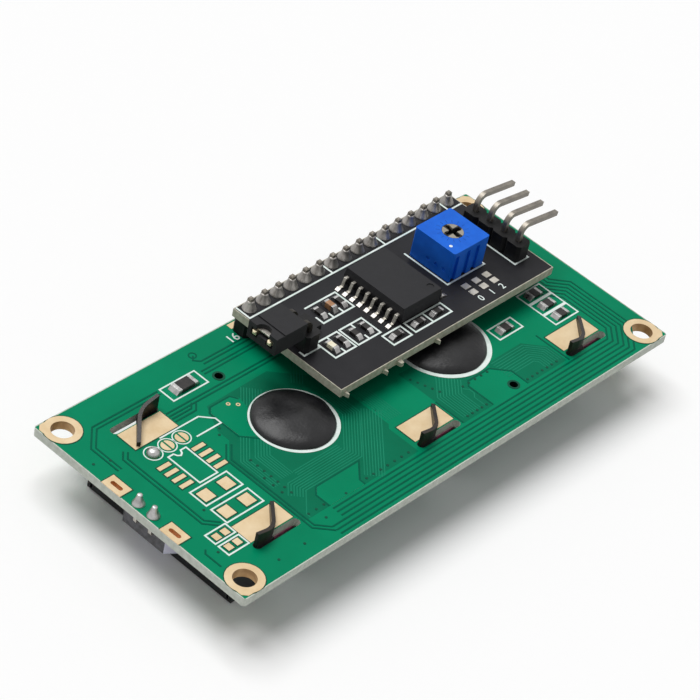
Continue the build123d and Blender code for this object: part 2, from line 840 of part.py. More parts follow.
near_contact_strip = contact_strip(-1)
near_contact_strip.part.label = "near_contact_strip"
export_step(near_contact_strip.part, "parts/near_contact_strip.step")

far_contact_strip = contact_strip(1)
far_contact_strip.part.label = "far_contact_strip"
export_step(far_contact_strip.part, "parts/far_contact_strip.step")

# Driver chips under their domes of resin
left_blob = (-blob_x, left_blob_y, board_thickness, left_blob_radius, blob_height)
left_driver_blob = dome(*left_blob, ring_sides)
left_driver_blob.part.label = "left_driver_blob"
export_step(left_driver_blob.part, "parts/left_driver_blob.step")

right_blob = (blob_x, right_blob_y, board_thickness, right_blob_radius, blob_height)
right_driver_blob = dome(*right_blob, ring_sides)
right_driver_blob.part.label = "right_driver_blob"
export_step(right_driver_blob.part, "parts/right_driver_blob.step")

# Chip resistors on the display board: one for the backlight, four small ones
load_chip = (load_chip_length, load_chip_width, load_chip_height, load_chip_end)
load_resistor = chip_bodies(board_back, load_chip_places, *load_chip)
load_resistor.part.label = "load_resistor"
export_step(load_resistor.part, "parts/load_resistor.step")

load_resistor_ends = chip_ends(board_back, load_chip_places, *load_chip)
load_resistor_ends.part.label = "load_resistor_ends"
export_step(load_resistor_ends.part, "parts/load_resistor_ends.step")

board_chip = (board_chip_length, board_chip_width, board_chip_height, board_chip_end)
board_resistors = chip_bodies(board_back, board_chip_places, *board_chip)
board_resistors.part.label = "board_resistors"
export_step(board_resistors.part, "parts/board_resistors.step")

board_resistor_ends = chip_ends(board_back, board_chip_places, *board_chip)
board_resistor_ends.part.label = "board_resistor_ends"
export_step(board_resistor_ends.part, "parts/board_resistor_ends.step")

# Header strip between the two boards
with BuildPart() as header_strip:
    with BuildSketch(Plane((header_x, header_y, board_thickness))):
        notched_row(header_count)
    extrude(amount=strip_height)
header_strip.part.label = "header_strip"
export_step(header_strip.part, "parts/header_strip.step")

# Its sixteen square pins, pointed at both ends
with BuildPart() as header_pins:
    with BuildSketch(Plane((header_x, header_y, -header_pin_below))):
        with GridLocations(pitch, 0, header_count, 1):
            Rectangle(pin_side, pin_side)
    extrude(amount=header_pin_below + adapter_top + header_pin_above)
    chamfer(header_pins.faces().group_by(Axis.Z)[-1].edges(), pin_point)
    chamfer(header_pins.faces().group_by(Axis.Z)[0].edges(), pin_point)
header_pins.part.label = "header_pins"
export_step(header_pins.part, "parts/header_pins.step")

# Solder round the pins, on the adapter's back and on the display board's front
header_joint = (header_solder_radius, solder_tip_radius)
with BuildPart() as adapter_solder:
    with Locations((header_x, header_y, adapter_top)):
        with GridLocations(pitch, 0, header_count, 1):
            add(tapered_band(*header_joint, header_solder_height, solder_sides))
    add(header_pins.part, mode=Mode.SUBTRACT)
adapter_solder.part.label = "adapter_solder"
export_step(adapter_solder.part, "parts/adapter_solder.step")

with BuildPart() as display_solder:
    with Locations(Location((header_x, header_y, 0), (180, 0, 0))):
        with GridLocations(pitch, 0, header_count, 1):
            add(tapered_band(*header_joint, front_solder_height, solder_sides))
    add(header_pins.part, mode=Mode.SUBTRACT)
display_solder.part.label = "display_solder"
export_step(display_solder.part, "parts/display_solder.step")

# Adapter board with its holes, and the stubs along its near edge
leg_hole_side = trimmer_leg_side + 2 * pin_hole_gap
with BuildPart() as adapter_board:
    with BuildSketch(adapter_front):
        Rectangle(adapter_length, adapter_width)
        with Locations((0, header_on_adapter_y)):
            with GridLocations(pitch, 0, header_count, 1):
                Rectangle(pin_hole_side, pin_hole_side, mode=Mode.SUBTRACT)
        with Locations(*[(io_x, row) for row in io_rows]):
            Rectangle(pin_hole_side, pin_hole_side, mode=Mode.SUBTRACT)
        with Locations(*[(jumper_x, row) for row in jumper_rows]):
            Rectangle(pin_hole_side, pin_hole_side, mode=Mode.SUBTRACT)
        with Locations((trimmer_x, trimmer_y)):
            with Locations(*trimmer_legs_at):
                Rectangle(leg_hole_side, leg_hole_side, mode=Mode.SUBTRACT)
    extrude(amount=adapter_thickness)
    with BuildSketch(adapter_front):
        for x, width in stubs:
            with Locations((x, -adapter_width / 2 - stub_reach / 2)):
                Trapezoid(width, stub_reach, stub_taper, rotation=180)
    extrude(amount=stub_thickness)
adapter_board.part.label = "adapter_board"
export_step(adapter_board.part, "parts/adapter_board.step")

# Expander chip: a straight band where the leads leave, drafted above and below it
lead_rise = expander_standoff + expander_height / 2
with BuildPart() as expander_body:
    band = adapter_back.offset(lead_rise - lead_thickness / 2)
    with BuildSketch(band):
        with Locations((expander_x, expander_y)):
            Rectangle(expander_width, expander_length)
    extrude(amount=lead_thickness)
    half_height = (expander_height - lead_thickness) / 2
    top_face = expander_body.faces().sort_by(Axis.Z)[-1]
    bottom_face = expander_body.faces().sort_by(Axis.Z)[0]
    extrude(top_face, amount=half_height, taper=expander_draft)
    extrude(bottom_face, amount=half_height, taper=expander_draft)
    with BuildSketch(adapter_back.offset(expander_standoff + expander_height)):
        with Locations((expander_x, expander_y)):
            with Locations(
                (
                    expander_width / 2 - expander_dimple_inset_x,
                    -expander_length / 2 + expander_dimple_inset_y,
                )
            ):
                RegularPolygon(expander_dimple_radius, hole_sides)
    extrude(amount=-expander_dimple_depth, mode=Mode.SUBTRACT)
expander_body.part.label = "expander_body"
export_step(expander_body.part, "parts/expander_body.step")

expander_lead = gull_wing(
    expander_width / 2,
    lead_rise,
    lead_shoulder,
    lead_run,
    lead_foot,
    lead_thickness,
    lead_width,
)
with BuildPart() as expander_leads:
    with Locations(adapter_back):
        with Locations((expander_x, expander_y)):
            with PolarLocations(0, 2):
                with GridLocations(0, lead_pitch, 1, lead_rows):
                    add(expander_lead)
expander_leads.part.label = "expander_leads"
export_step(expander_leads.part, "parts/expander_leads.step")

# A wedge of solder at each lead's toe
lead_toe = expander_width / 2 + lead_shoulder + lead_run + lead_foot
with BuildPart() as toe_solder:
    with BuildSketch(Plane.XZ):
        with BuildLine():
            Polyline(
                (lead_toe, 0),
                (lead_toe + toe_solder_length, 0),
                (lead_toe, lead_thickness),
                close=True,
            )
        make_face()
    extrude(amount=toe_solder_width / 2, both=True)
with BuildPart() as expander_solder:
    with Locations(adapter_back):
        with Locations((expander_x, expander_y)):
            with PolarLocations(0, 2):
                with GridLocations(0, lead_pitch, 1, lead_rows):
                    add(toe_solder.part)
expander_solder.part.label = "expander_solder"
export_step(expander_solder.part, "parts/expander_solder.step")

# Switch transistor, drafted like the expander, with one lead on one side and two on the other
switch_rise = switch_height / 2
with BuildPart() as switch_transistor:
    with BuildSketch(adapter_back.offset(switch_rise - switch_lead_thickness / 2)):
        with Locations((switch_x, switch_y)):
            Rectangle(switch_width, switch_length)
    extrude(amount=switch_lead_thickness)
    half_height = (switch_height - switch_lead_thickness) / 2
    top_face = switch_transistor.faces().sort_by(Axis.Z)[-1]
    bottom_face = switch_transistor.faces().sort_by(Axis.Z)[0]
    extrude(top_face, amount=half_height, taper=switch_draft)
    extrude(bottom_face, amount=half_height, taper=switch_draft)
switch_transistor.part.label = "switch_transistor"
export_step(switch_transistor.part, "parts/switch_transistor.step")

switch_lead = gull_wing(
    switch_width / 2,
    switch_rise,
    switch_lead_shoulder,
    switch_lead_run,
    switch_lead_foot,
    switch_lead_thickness,
    switch_lead_width,
)
with BuildPart() as switch_leads:
    with Locations(adapter_back):
        with Locations((switch_x, switch_y)):
            add(switch_lead)
            with Locations(Location((0, 0, 0), (0, 0, 180))):
                with GridLocations(0, 2 * switch_lead_pitch, 1, 2):
                    add(switch_lead)
switch_leads.part.label = "switch_leads"
export_step(switch_leads.part, "parts/switch_leads.step")

# Trimmer. The case is open below for its base, with a wide chamber and a bore above it
trimmer_place = adapter_back.origin + Vector(trimmer_x, trimmer_y, 0)
chamber_top = trimmer_base_thickness + rotor_flange_height + 2 * rotor_end_gap
with BuildPart() as trimmer_case:
    with BuildSketch(Plane(trimmer_place)):
        RectangleRounded(trimmer_side, trimmer_side, trimmer_edge_radius)
    extrude(amount=trimmer_height)
    with BuildSketch(Plane(trimmer_place)):
        Rectangle(trimmer_side - 2 * trimmer_wall, trimmer_side - 2 * trimmer_wall)
    extrude(amount=trimmer_base_thickness, mode=Mode.SUBTRACT)
    with BuildSketch(Plane(trimmer_place)):
        Circle(rotor_flange_radius + rotor_running_gap)
    extrude(amount=chamber_top, mode=Mode.SUBTRACT)
    with BuildSketch(Plane(trimmer_place)):
        Circle(rotor_radius + rotor_running_gap)
    extrude(amount=trimmer_height, mode=Mode.SUBTRACT)
    with BuildSketch(Plane(trimmer_place)):
        for x in trimmer_groove_places:
            with Locations((x, -trimmer_side / 2)):
                Rectangle(trimmer_groove_width, 2 * trimmer_groove_depth)
    extrude(amount=trimmer_height - trimmer_groove_top, mode=Mode.SUBTRACT)
    left_side = trimmer_place + Vector(-trimmer_side / 2, 0, trimmer_mark_height)
    with BuildSketch(Plane(left_side, x_dir=(0, -1, 0), z_dir=(-1, 0, 0))):
        with Locations(*[(-y, 0) for y in trimmer_mark_places]):
            RegularPolygon(trimmer_mark_radius, solder_sides)
    extrude(amount=-trimmer_mark_depth, mode=Mode.SUBTRACT)
trimmer_case.part.label = "trimmer_case"
export_step(trimmer_case.part, "parts/trimmer_case.step")

with BuildPart() as trimmer_base:
    with BuildSketch(Plane(trimmer_place)):
        Rectangle(trimmer_side - 2 * trimmer_wall, trimmer_side - 2 * trimmer_wall)
    extrude(amount=trimmer_base_thickness)
trimmer_base.part.label = "trimmer_base"
export_step(trimmer_base.part, "parts/trimmer_base.step")

# Rotor: a flange that turns on the base and a cross-slotted head flush with the case
with BuildPart() as trimmer_rotor:
    with BuildSketch(Plane(trimmer_place + Vector(0, 0, trimmer_base_thickness + rotor_end_gap))):
        Circle(rotor_flange_radius)
    extrude(amount=rotor_flange_height)
    with BuildSketch(Plane(trimmer_place + Vector(0, 0, trimmer_height))):
        Circle(rotor_radius)
    extrude(amount=chamber_top - rotor_end_gap - trimmer_height)
    with BuildSketch(Plane(trimmer_place + Vector(0, 0, trimmer_height))):
        Rectangle(rotor_slot_length, rotor_slot_width, rotation=rotor_slot_angle)
        Rectangle(rotor_slot_width, rotor_slot_length, rotation=rotor_slot_angle)
    extrude(amount=-rotor_slot_depth, mode=Mode.SUBTRACT)
trimmer_rotor.part.label = "trimmer_rotor"
export_step(trimmer_rotor.part, "parts/trimmer_rotor.step")

with BuildPart() as trimmer_legs:
    with BuildSketch(Plane(trimmer_place)):
        with Locations(*trimmer_legs_at):
            Rectangle(trimmer_leg_side, trimmer_leg_side)
    extrude(amount=-adapter_thickness - trimmer_leg_below)
trimmer_legs.part.label = "trimmer_legs"
export_step(trimmer_legs.part, "parts/trimmer_legs.step")

trimmer_joint_tip = trimmer_leg_side * math.sqrt(2) / 2 + solder_skin
with BuildPart() as trimmer_solder:
    with Locations(Location(trimmer_place - Vector(0, 0, adapter_thickness), (180, 0, 0))):
        with Locations(*[(x, -y) for x, y in trimmer_legs_at]):
            add(tapered_band(under_solder_radius, trimmer_joint_tip, under_solder_height, solder_sides))
    add(trimmer_legs.part, mode=Mode.SUBTRACT)
trimmer_solder.part.label = "trimmer_solder"
export_step(trimmer_solder.part, "parts/trimmer_solder.step")


# The plastic block of a header whose ways lie along Y
def header_block(x, y, count):
    place = adapter_back.origin + Vector(x, y, 0)
    with BuildPart() as block:
        with BuildSketch(Plane(place, x_dir=(0, 1, 0), z_dir=(0, 0, 1))):
            notched_row(count)
        extrude(amount=strip_height)
    return block


# Solder round pins that come out under the adapter
def under_solder(pins, x, rows):
    with BuildPart() as joints:
        for row in rows:
            place = adapter_front.origin + Vector(x, row, 0)
            with Locations(Location(place, (180, 0, 0))):
                add(tapered_band(under_solder_radius, solder_tip_radius, under_solder_height, solder_sides))
        add(pins.part, mode=Mode.SUBTRACT)
    return joints


# Four-pin header
io_header_block = header_block(io_x, io_y, io_count)
io_header_block.part.label = "io_header_block"
export_step(io_header_block.part, "parts/io_header_block.step")

io_header_pins = bent_pins(io_x, io_rows, 1, io_rise, io_reach, io_droop)
io_header_pins.part.label = "io_header_pins"
export_step(io_header_pins.part, "parts/io_header_pins.step")

io_header_solder = under_solder(io_header_pins, io_x, io_rows)
io_header_solder.part.label = "io_header_solder"
export_step(io_header_solder.part, "parts/io_header_solder.step")

# Two-pin header for the cap
jumper_block = header_block(jumper_x, jumper_y, jumper_count)
jumper_block.part.label = "jumper_block"
export_step(jumper_block.part, "parts/jumper_block.step")

jumper_pins = bent_pins(jumper_x, jumper_rows, -1, jumper_rise, jumper_reach, 0)
jumper_pins.part.label = "jumper_pins"
export_step(jumper_pins.part, "parts/jumper_pins.step")

jumper_solder = under_solder(jumper_pins, jumper_x, jumper_rows)
jumper_solder.part.label = "jumper_solder"
export_step(jumper_solder.part, "parts/jumper_solder.step")

# Jumper cap, seen end on from beyond the pins' tips: two square passages joined by a slot
# for the clip's bridge. A half-round notch in its outer end shows the clip
cap_end = adapter_back.origin + Vector(jumper_x - jumper_reach + cap_tip_inset, jumper_y, jumper_rise)
cap_end_plane = Plane(cap_end, x_dir=(0, -1, 0), z_dir=(-1, 0, 0))
clip_inside = pin_side / 2 + clip_gap
passage_side = 2 * (clip_inside + clip_thickness)
with BuildPart() as jumper_cap:
    with BuildSketch(cap_end_plane):
        Rectangle(cap_width, cap_height)
        with GridLocations(pitch, 0, jumper_count, 1):
            Rectangle(passage_side, passage_side, mode=Mode.SUBTRACT)
        with Locations((0, clip_inside)):
            Rectangle(
                pitch,
                clip_thickness,
                align=(Align.CENTER, Align.MIN),
                mode=Mode.SUBTRACT,
            )
    extrude(amount=-cap_length)
    with BuildSketch(Plane(cap_end)):
        Circle(cap_notch_radius)
    extrude(amount=cap_height / 2, mode=Mode.SUBTRACT)
    with BuildSketch(Plane(cap_end + Vector(cap_groove_inset, 0, cap_height / 2))):
        Rectangle(cap_groove_width, cap_width)
    extrude(amount=-cap_groove_depth, mode=Mode.SUBTRACT)
jumper_cap.part.label = "jumper_cap"
export_step(jumper_cap.part, "parts/jumper_cap.step")

# Its clip: one strip bent over both pins
with BuildPart() as jumper_clip:
    clip_middle = clip_inside + clip_thickness / 2
    clip_side = pitch / 2 + clip_middle
    with BuildSketch(cap_end_plane.offset(-clip_end_inset)):
        with BuildLine():
            Polyline(
                (-clip_side, -clip_inside),
                (-clip_side, clip_middle),
                (clip_side, clip_middle),
                (clip_side, -clip_inside),
            )
            offset(amount=clip_thickness / 2, kind=Kind.INTERSECTION)
        make_face()
    extrude(amount=-clip_length)
jumper_clip.part.label = "jumper_clip"
export_step(jumper_clip.part, "parts/jumper_clip.step")

# Small chips on the adapter
resistor = (small_chip_length, small_chip_width, small_chip_height, small_chip_end)
adapter_resistors = chip_bodies(adapter_back, resistor_places, *resistor)
adapter_resistors.part.label = "adapter_resistors"
export_step(adapter_resistors.part, "parts/adapter_resistors.step")

adapter_resistor_ends = chip_ends(adapter_back, resistor_places, *resistor)
adapter_resistor_ends.part.label = "adapter_resistor_ends"
export_step(adapter_resistor_ends.part, "parts/adapter_resistor_ends.step")

capacitor = (small_chip_length, small_chip_width, capacitor_height, small_chip_end)
adapter_capacitor = chip_bodies(adapter_back, capacitor_places, *capacitor)
adapter_capacitor.part.label = "adapter_capacitor"
export_step(adapter_capacitor.part, "parts/adapter_capacitor.step")

adapter_capacitor_ends = chip_ends(adapter_back, capacitor_places, *capacitor)
adapter_capacitor_ends.part.label = "adapter_capacitor_ends"
export_step(adapter_capacitor_ends.part, "parts/adapter_capacitor_ends.step")

light_chip = (small_chip_length, small_chip_width, power_light_height, small_chip_end)
power_light = chip_bodies(adapter_back, power_light_places, *light_chip)
power_light.part.label = "power_light"
export_step(power_light.part, "parts/power_light.step")

power_light_ends = chip_ends(adapter_back, power_light_places, *light_chip)
power_light_ends.part.label = "power_light_ends"
export_step(power_light_ends.part, "parts/power_light_ends.step")

# Address pads, three pairs
with BuildPart() as address_pads:
    with BuildSketch(adapter_back):
        with Locations((address_x, small_row_y + address_row_rise)):
            with GridLocations(address_pad_spacing_x, address_pad_spacing_y, 3, 2):
                Rectangle(address_pad_length, address_pad_width)
    extrude(amount=plating)
address_pads.part.label = "address_pads"
export_step(address_pads.part, "parts/address_pads.step")
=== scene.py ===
import bpy
import bmesh
import math
from mathutils import Matrix, Vector, noise


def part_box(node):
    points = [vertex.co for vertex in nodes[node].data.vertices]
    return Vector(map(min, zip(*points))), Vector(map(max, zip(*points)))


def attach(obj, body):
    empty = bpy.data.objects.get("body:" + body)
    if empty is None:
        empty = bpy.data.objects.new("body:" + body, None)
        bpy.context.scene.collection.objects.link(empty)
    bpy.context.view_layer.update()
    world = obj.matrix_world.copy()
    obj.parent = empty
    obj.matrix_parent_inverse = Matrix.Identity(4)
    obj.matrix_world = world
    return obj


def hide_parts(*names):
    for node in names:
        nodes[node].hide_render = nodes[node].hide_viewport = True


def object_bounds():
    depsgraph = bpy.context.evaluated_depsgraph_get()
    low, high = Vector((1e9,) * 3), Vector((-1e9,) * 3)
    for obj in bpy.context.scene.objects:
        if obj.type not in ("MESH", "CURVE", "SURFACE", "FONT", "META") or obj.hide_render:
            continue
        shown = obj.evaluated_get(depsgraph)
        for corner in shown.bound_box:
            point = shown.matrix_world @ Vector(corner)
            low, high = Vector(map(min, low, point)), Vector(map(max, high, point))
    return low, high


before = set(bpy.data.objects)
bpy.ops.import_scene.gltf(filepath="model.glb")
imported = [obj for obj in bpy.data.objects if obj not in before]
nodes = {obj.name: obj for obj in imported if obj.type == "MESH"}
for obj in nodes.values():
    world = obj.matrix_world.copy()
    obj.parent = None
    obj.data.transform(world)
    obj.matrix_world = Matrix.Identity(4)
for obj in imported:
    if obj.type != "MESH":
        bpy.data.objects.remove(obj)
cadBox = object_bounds()
mm = 0.001
# Unseeded noise would start from the clock and give other forms each run
noise.seed_set(7)
print("frame loaded,", len(nodes), "nodes")

# Camera, floor and light
studio = {
    "cameraPlace": (-233.738, -158.133, 238.954),  # mm
    "cameraTurn": (49.62, -10.007, -46.968),  # degrees
    "lens": 151.1,  # mm
    "filmWide": 36.0,  # mm
    "seenFrom": 0.01,  # m
    "seenTo": 20.0,  # m
    "floorSide": 6.0,  # m
    "floorGap": 0.02,  # mm below the bezel
    "floorTone": (0.95, 0.95, 0.95),
    "floorRough": 0.9,
    "floorShine": 0.1,
    "floorGlow": 0.06,
    "worldLevel": 0.27,
    "keyLevel": 2.4,
    "keySpread": 42.0,  # degrees that the soft light covers
    "keyFrom": (0.03, 0.3, 0.7),
}


def buildStudio(s):
    scene = bpy.context.scene
    scene.view_settings.view_transform = "Standard"
    lens = bpy.data.cameras.new("camera")
    lens.lens = s["lens"]
    lens.sensor_width = s["filmWide"]
    lens.clip_start = s["seenFrom"]
    lens.clip_end = s["seenTo"]
    eye = bpy.data.objects.new("camera", lens)
    eye.location = [v * mm for v in s["cameraPlace"]]
    eye.rotation_euler = [math.radians(v) for v in s["cameraTurn"]]
    scene.collection.objects.link(eye)
    scene.camera = eye

    plane = bmesh.new()
    bmesh.ops.create_grid(plane, x_segments=1, y_segments=1, size=s["floorSide"] / 2)
    bmesh.ops.translate(plane, verts=plane.verts, vec=(0, 0, cadBox[0].z - s["floorGap"] * mm))
    sheet = bpy.data.meshes.new("floor")
    plane.to_mesh(sheet)
    plane.free()
    floor = bpy.data.objects.new("floor", sheet)
    scene.collection.objects.link(floor)
    paper = bpy.data.materials.new("paleFloor")
    paper.use_nodes = True
    tree = paper.node_tree
    shader = tree.nodes["Principled BSDF"]
    shader.inputs["Base Color"].default_value = (*s["floorTone"], 1)
    shader.inputs["Roughness"].default_value = s["floorRough"]
    shader.inputs["Specular IOR Level"].default_value = s["floorShine"]
    shader.inputs["Emission Color"].default_value = (1, 1, 1, 1)
    glow = tree.nodes.new("ShaderNodeMapRange")
    glow.inputs["To Max"].default_value = s["floorGlow"]
    tree.links.new(seenRays(tree), glow.inputs["Value"])
    tree.links.new(glow.outputs["Result"], shader.inputs["Emission Strength"])
    sheet.materials.append(paper)

    world = bpy.data.worlds.new("studioWorld")
    world.use_nodes = True
    tree = world.node_tree
    level = tree.nodes.new("ShaderNodeMapRange")
    level.inputs["To Min"].default_value = s["worldLevel"]
    level.inputs["To Max"].default_value = 1.0
    tree.links.new(seenRays(tree), level.inputs["Value"])
    tree.links.new(level.outputs["Result"], tree.nodes["Background"].inputs["Strength"])
    tree.nodes["Background"].inputs["Color"].default_value = (1, 1, 1, 1)
    scene.world = world

    lamp = bpy.data.lights.new("softLight", "SUN")
    lamp.angle = math.radians(s["keySpread"])
    lamp.energy = s["keyLevel"]
    key = bpy.data.objects.new("softLight", lamp)
    key.location = s["keyFrom"]
    key.rotation_euler = (-Vector(s["keyFrom"])).to_track_quat("-Z", "Y").to_euler()
    scene.collection.objects.link(key)
    print("studio ready")


# Camera, mirror and see-through rays, which all meet the white background
def seenRays(tree):
    rays = tree.nodes.new("ShaderNodeLightPath")
    either = tree.nodes.new("ShaderNodeMath")
    either.operation = "MAXIMUM"
    shown = tree.nodes.new("ShaderNodeMath")
    shown.operation = "MAXIMUM"
    tree.links.new(rays.outputs["Is Camera Ray"], either.inputs[0])
    tree.links.new(rays.outputs["Is Glossy Ray"], either.inputs[1])
    tree.links.new(either.outputs[0], shown.inputs[0])
    tree.links.new(rays.outputs["Is Transmission Ray"], shown.inputs[1])
    return shown.outputs[0]


buildStudio(studio)


# A colour written as it looks on the screen
def tone(code):
    parts = [int(code[i : i + 2], 16) / 255 for i in (0, 2, 4)]
    return (*[p / 12.92 if p <= 0.04045 else ((p + 0.055) / 1.055) ** 2.4 for p in parts], 1)


# What all finishes share
grain = {
    "detail": 5.0,
    "soften": 0.6,
    "stops": (0.32, 0.68),
    "roughSpan": (0.3, 0.7),
    "skinDetail": 3.0,
    "bumpDepth": 0.05,  # mm
    "edge": 0.05,  # mm, where a finish gives none of its own
    "edgeSamples": 4,
    "shine": 0.5,
}

# What all second colours share
patch = {"detail": 4.0, "soften": 0.5, "stops": (0.35, 0.65)}


# Noise that runs from one tone to another, as its plain value and as a colour
def cloudTones(tree, scale, tones, s):
    place = tree.nodes.new("ShaderNodeTexCoord")
    cloud = tree.nodes.new("ShaderNodeTexNoise")
    cloud.inputs["Scale"].default_value = scale
    cloud.inputs["Detail"].default_value = s["detail"]
    cloud.inputs["Roughness"].default_value = s["soften"]
    ramp = tree.nodes.new("ShaderNodeValToRGB")
    for stop, at, code in zip(ramp.color_ramp.elements, s["stops"], tones):
        stop.position = at
        stop.color = tone(code)
    tree.links.new(place.outputs["Object"], cloud.inputs["Vector"])
    tree.links.new(cloud.outputs["Fac"], ramp.inputs["Fac"])
    return cloud.outputs["Fac"], ramp.outputs["Color"]


# A finish: cloudy colour between two tones, uneven roughness, a fine skin and softened edges
def mixFinish(name, look):
    material = bpy.data.materials.new(name)
    material.use_nodes = True
    tree = material.node_tree
    link = tree.links.new
    shader = tree.nodes["Principled BSDF"]
    shader.inputs["Metallic"].default_value = look.get("metal", 0.0)
    shader.inputs["Specular IOR Level"].default_value = look.get("shine", grain["shine"])
    shader.inputs["Subsurface Weight"].default_value = look.get("milk", 0.0)
    shader.inputs["Subsurface Radius"].default_value = (mm, mm, mm)
    cloud, colour = cloudTones(tree, look["cloud"], look["tones"], grain)
    rough = tree.nodes.new("ShaderNodeMapRange")
    for socket, value in zip(("From Min", "From Max"), grain["roughSpan"]):
        rough.inputs[socket].default_value = value
    for socket, value in zip(("To Min", "To Max"), look["rough"]):
        rough.inputs[socket].default_value = value
    place = tree.nodes.new("ShaderNodeTexCoord")
    skin = tree.nodes.new("ShaderNodeTexNoise")
    skin.inputs["Scale"].default_value = look["skin"]
    skin.inputs["Detail"].default_value = grain["skinDetail"]
    bump = tree.nodes.new("ShaderNodeBump")
    bump.inputs["Strength"].default_value = look["bump"]
    bump.inputs["Distance"].default_value = grain["bumpDepth"] * mm
    link(place.outputs["Object"], skin.inputs["Vector"])
    link(cloud, rough.inputs["Value"])
    link(colour, shader.inputs["Base Color"])
    link(rough.outputs["Result"], shader.inputs["Roughness"])
    link(skin.outputs["Fac"], bump.inputs["Height"])
    softened = look.get("edge", grain["edge"])
    if softened > 0:
        edge = tree.nodes.new("ShaderNodeBevel")
        edge.samples = grain["edgeSamples"]
        edge.inputs["Radius"].default_value = softened * mm
        link(edge.outputs["Normal"], bump.inputs["Normal"])
    link(bump.outputs["Normal"], shader.inputs["Normal"])
    return material


# One step of arithmetic on sockets and plain numbers
def stepNode(tree, operation, *values):
    step = tree.nodes.new("ShaderNodeMath")
    step.operation = operation
    for socket, value in zip(step.inputs, values):
        if isinstance(value, (int, float)):
            socket.default_value = value
        else:
            tree.links.new(value, socket)
    return step.outputs[0]


# How far a place is from a line across the board
def offFrom(tree, value, at):
    return stepNode(tree, "ABSOLUTE", stepNode(tree, "SUBTRACT", value, at * mm))


# Puts a second colour and roughness over a finish where the mask says
def overlay(material, mask, s):
    tree = material.node_tree
    link = tree.links.new
    shader = tree.nodes["Principled BSDF"]
    under = shader.inputs["Base Color"].links[0].from_socket
    over = cloudTones(tree, s["cloud"], s["tones"], patch)[1]
    blend = tree.nodes.new("ShaderNodeMix")
    blend.data_type = "RGBA"
    link(mask, blend.inputs["Factor"])
    link(under, blend.inputs["A"])
    link(over, blend.inputs["B"])
    link(blend.outputs["Result"], shader.inputs["Base Color"])
    oldRough = shader.inputs["Roughness"].links[0].from_socket
    roughMix = tree.nodes.new("ShaderNodeMix")
    link(mask, roughMix.inputs["Factor"])
    link(oldRough, roughMix.inputs["A"])
    roughMix.inputs["B"].default_value = s["rough"]
    link(roughMix.outputs["Result"], shader.inputs["Roughness"])


# Where a point of the surface is, and which way it faces
def placeParts(tree):
    place = tree.nodes.new("ShaderNodeTexCoord")
    split = tree.nodes.new("ShaderNodeSeparateXYZ")
    tree.links.new(place.outputs["Object"], split.inputs[0])
    return split.outputs


def facing(tree):
    shape = tree.nodes.new("ShaderNodeNewGeometry")
    split = tree.nodes.new("ShaderNodeSeparateXYZ")
    tree.links.new(shape.outputs["Normal"], split.inputs[0])
    return split.outputs


def upright(tree, limit):
    return stepNode(tree, "LESS_THAN", stepNode(tree, "ABSOLUTE", facing(tree)[2]), limit)


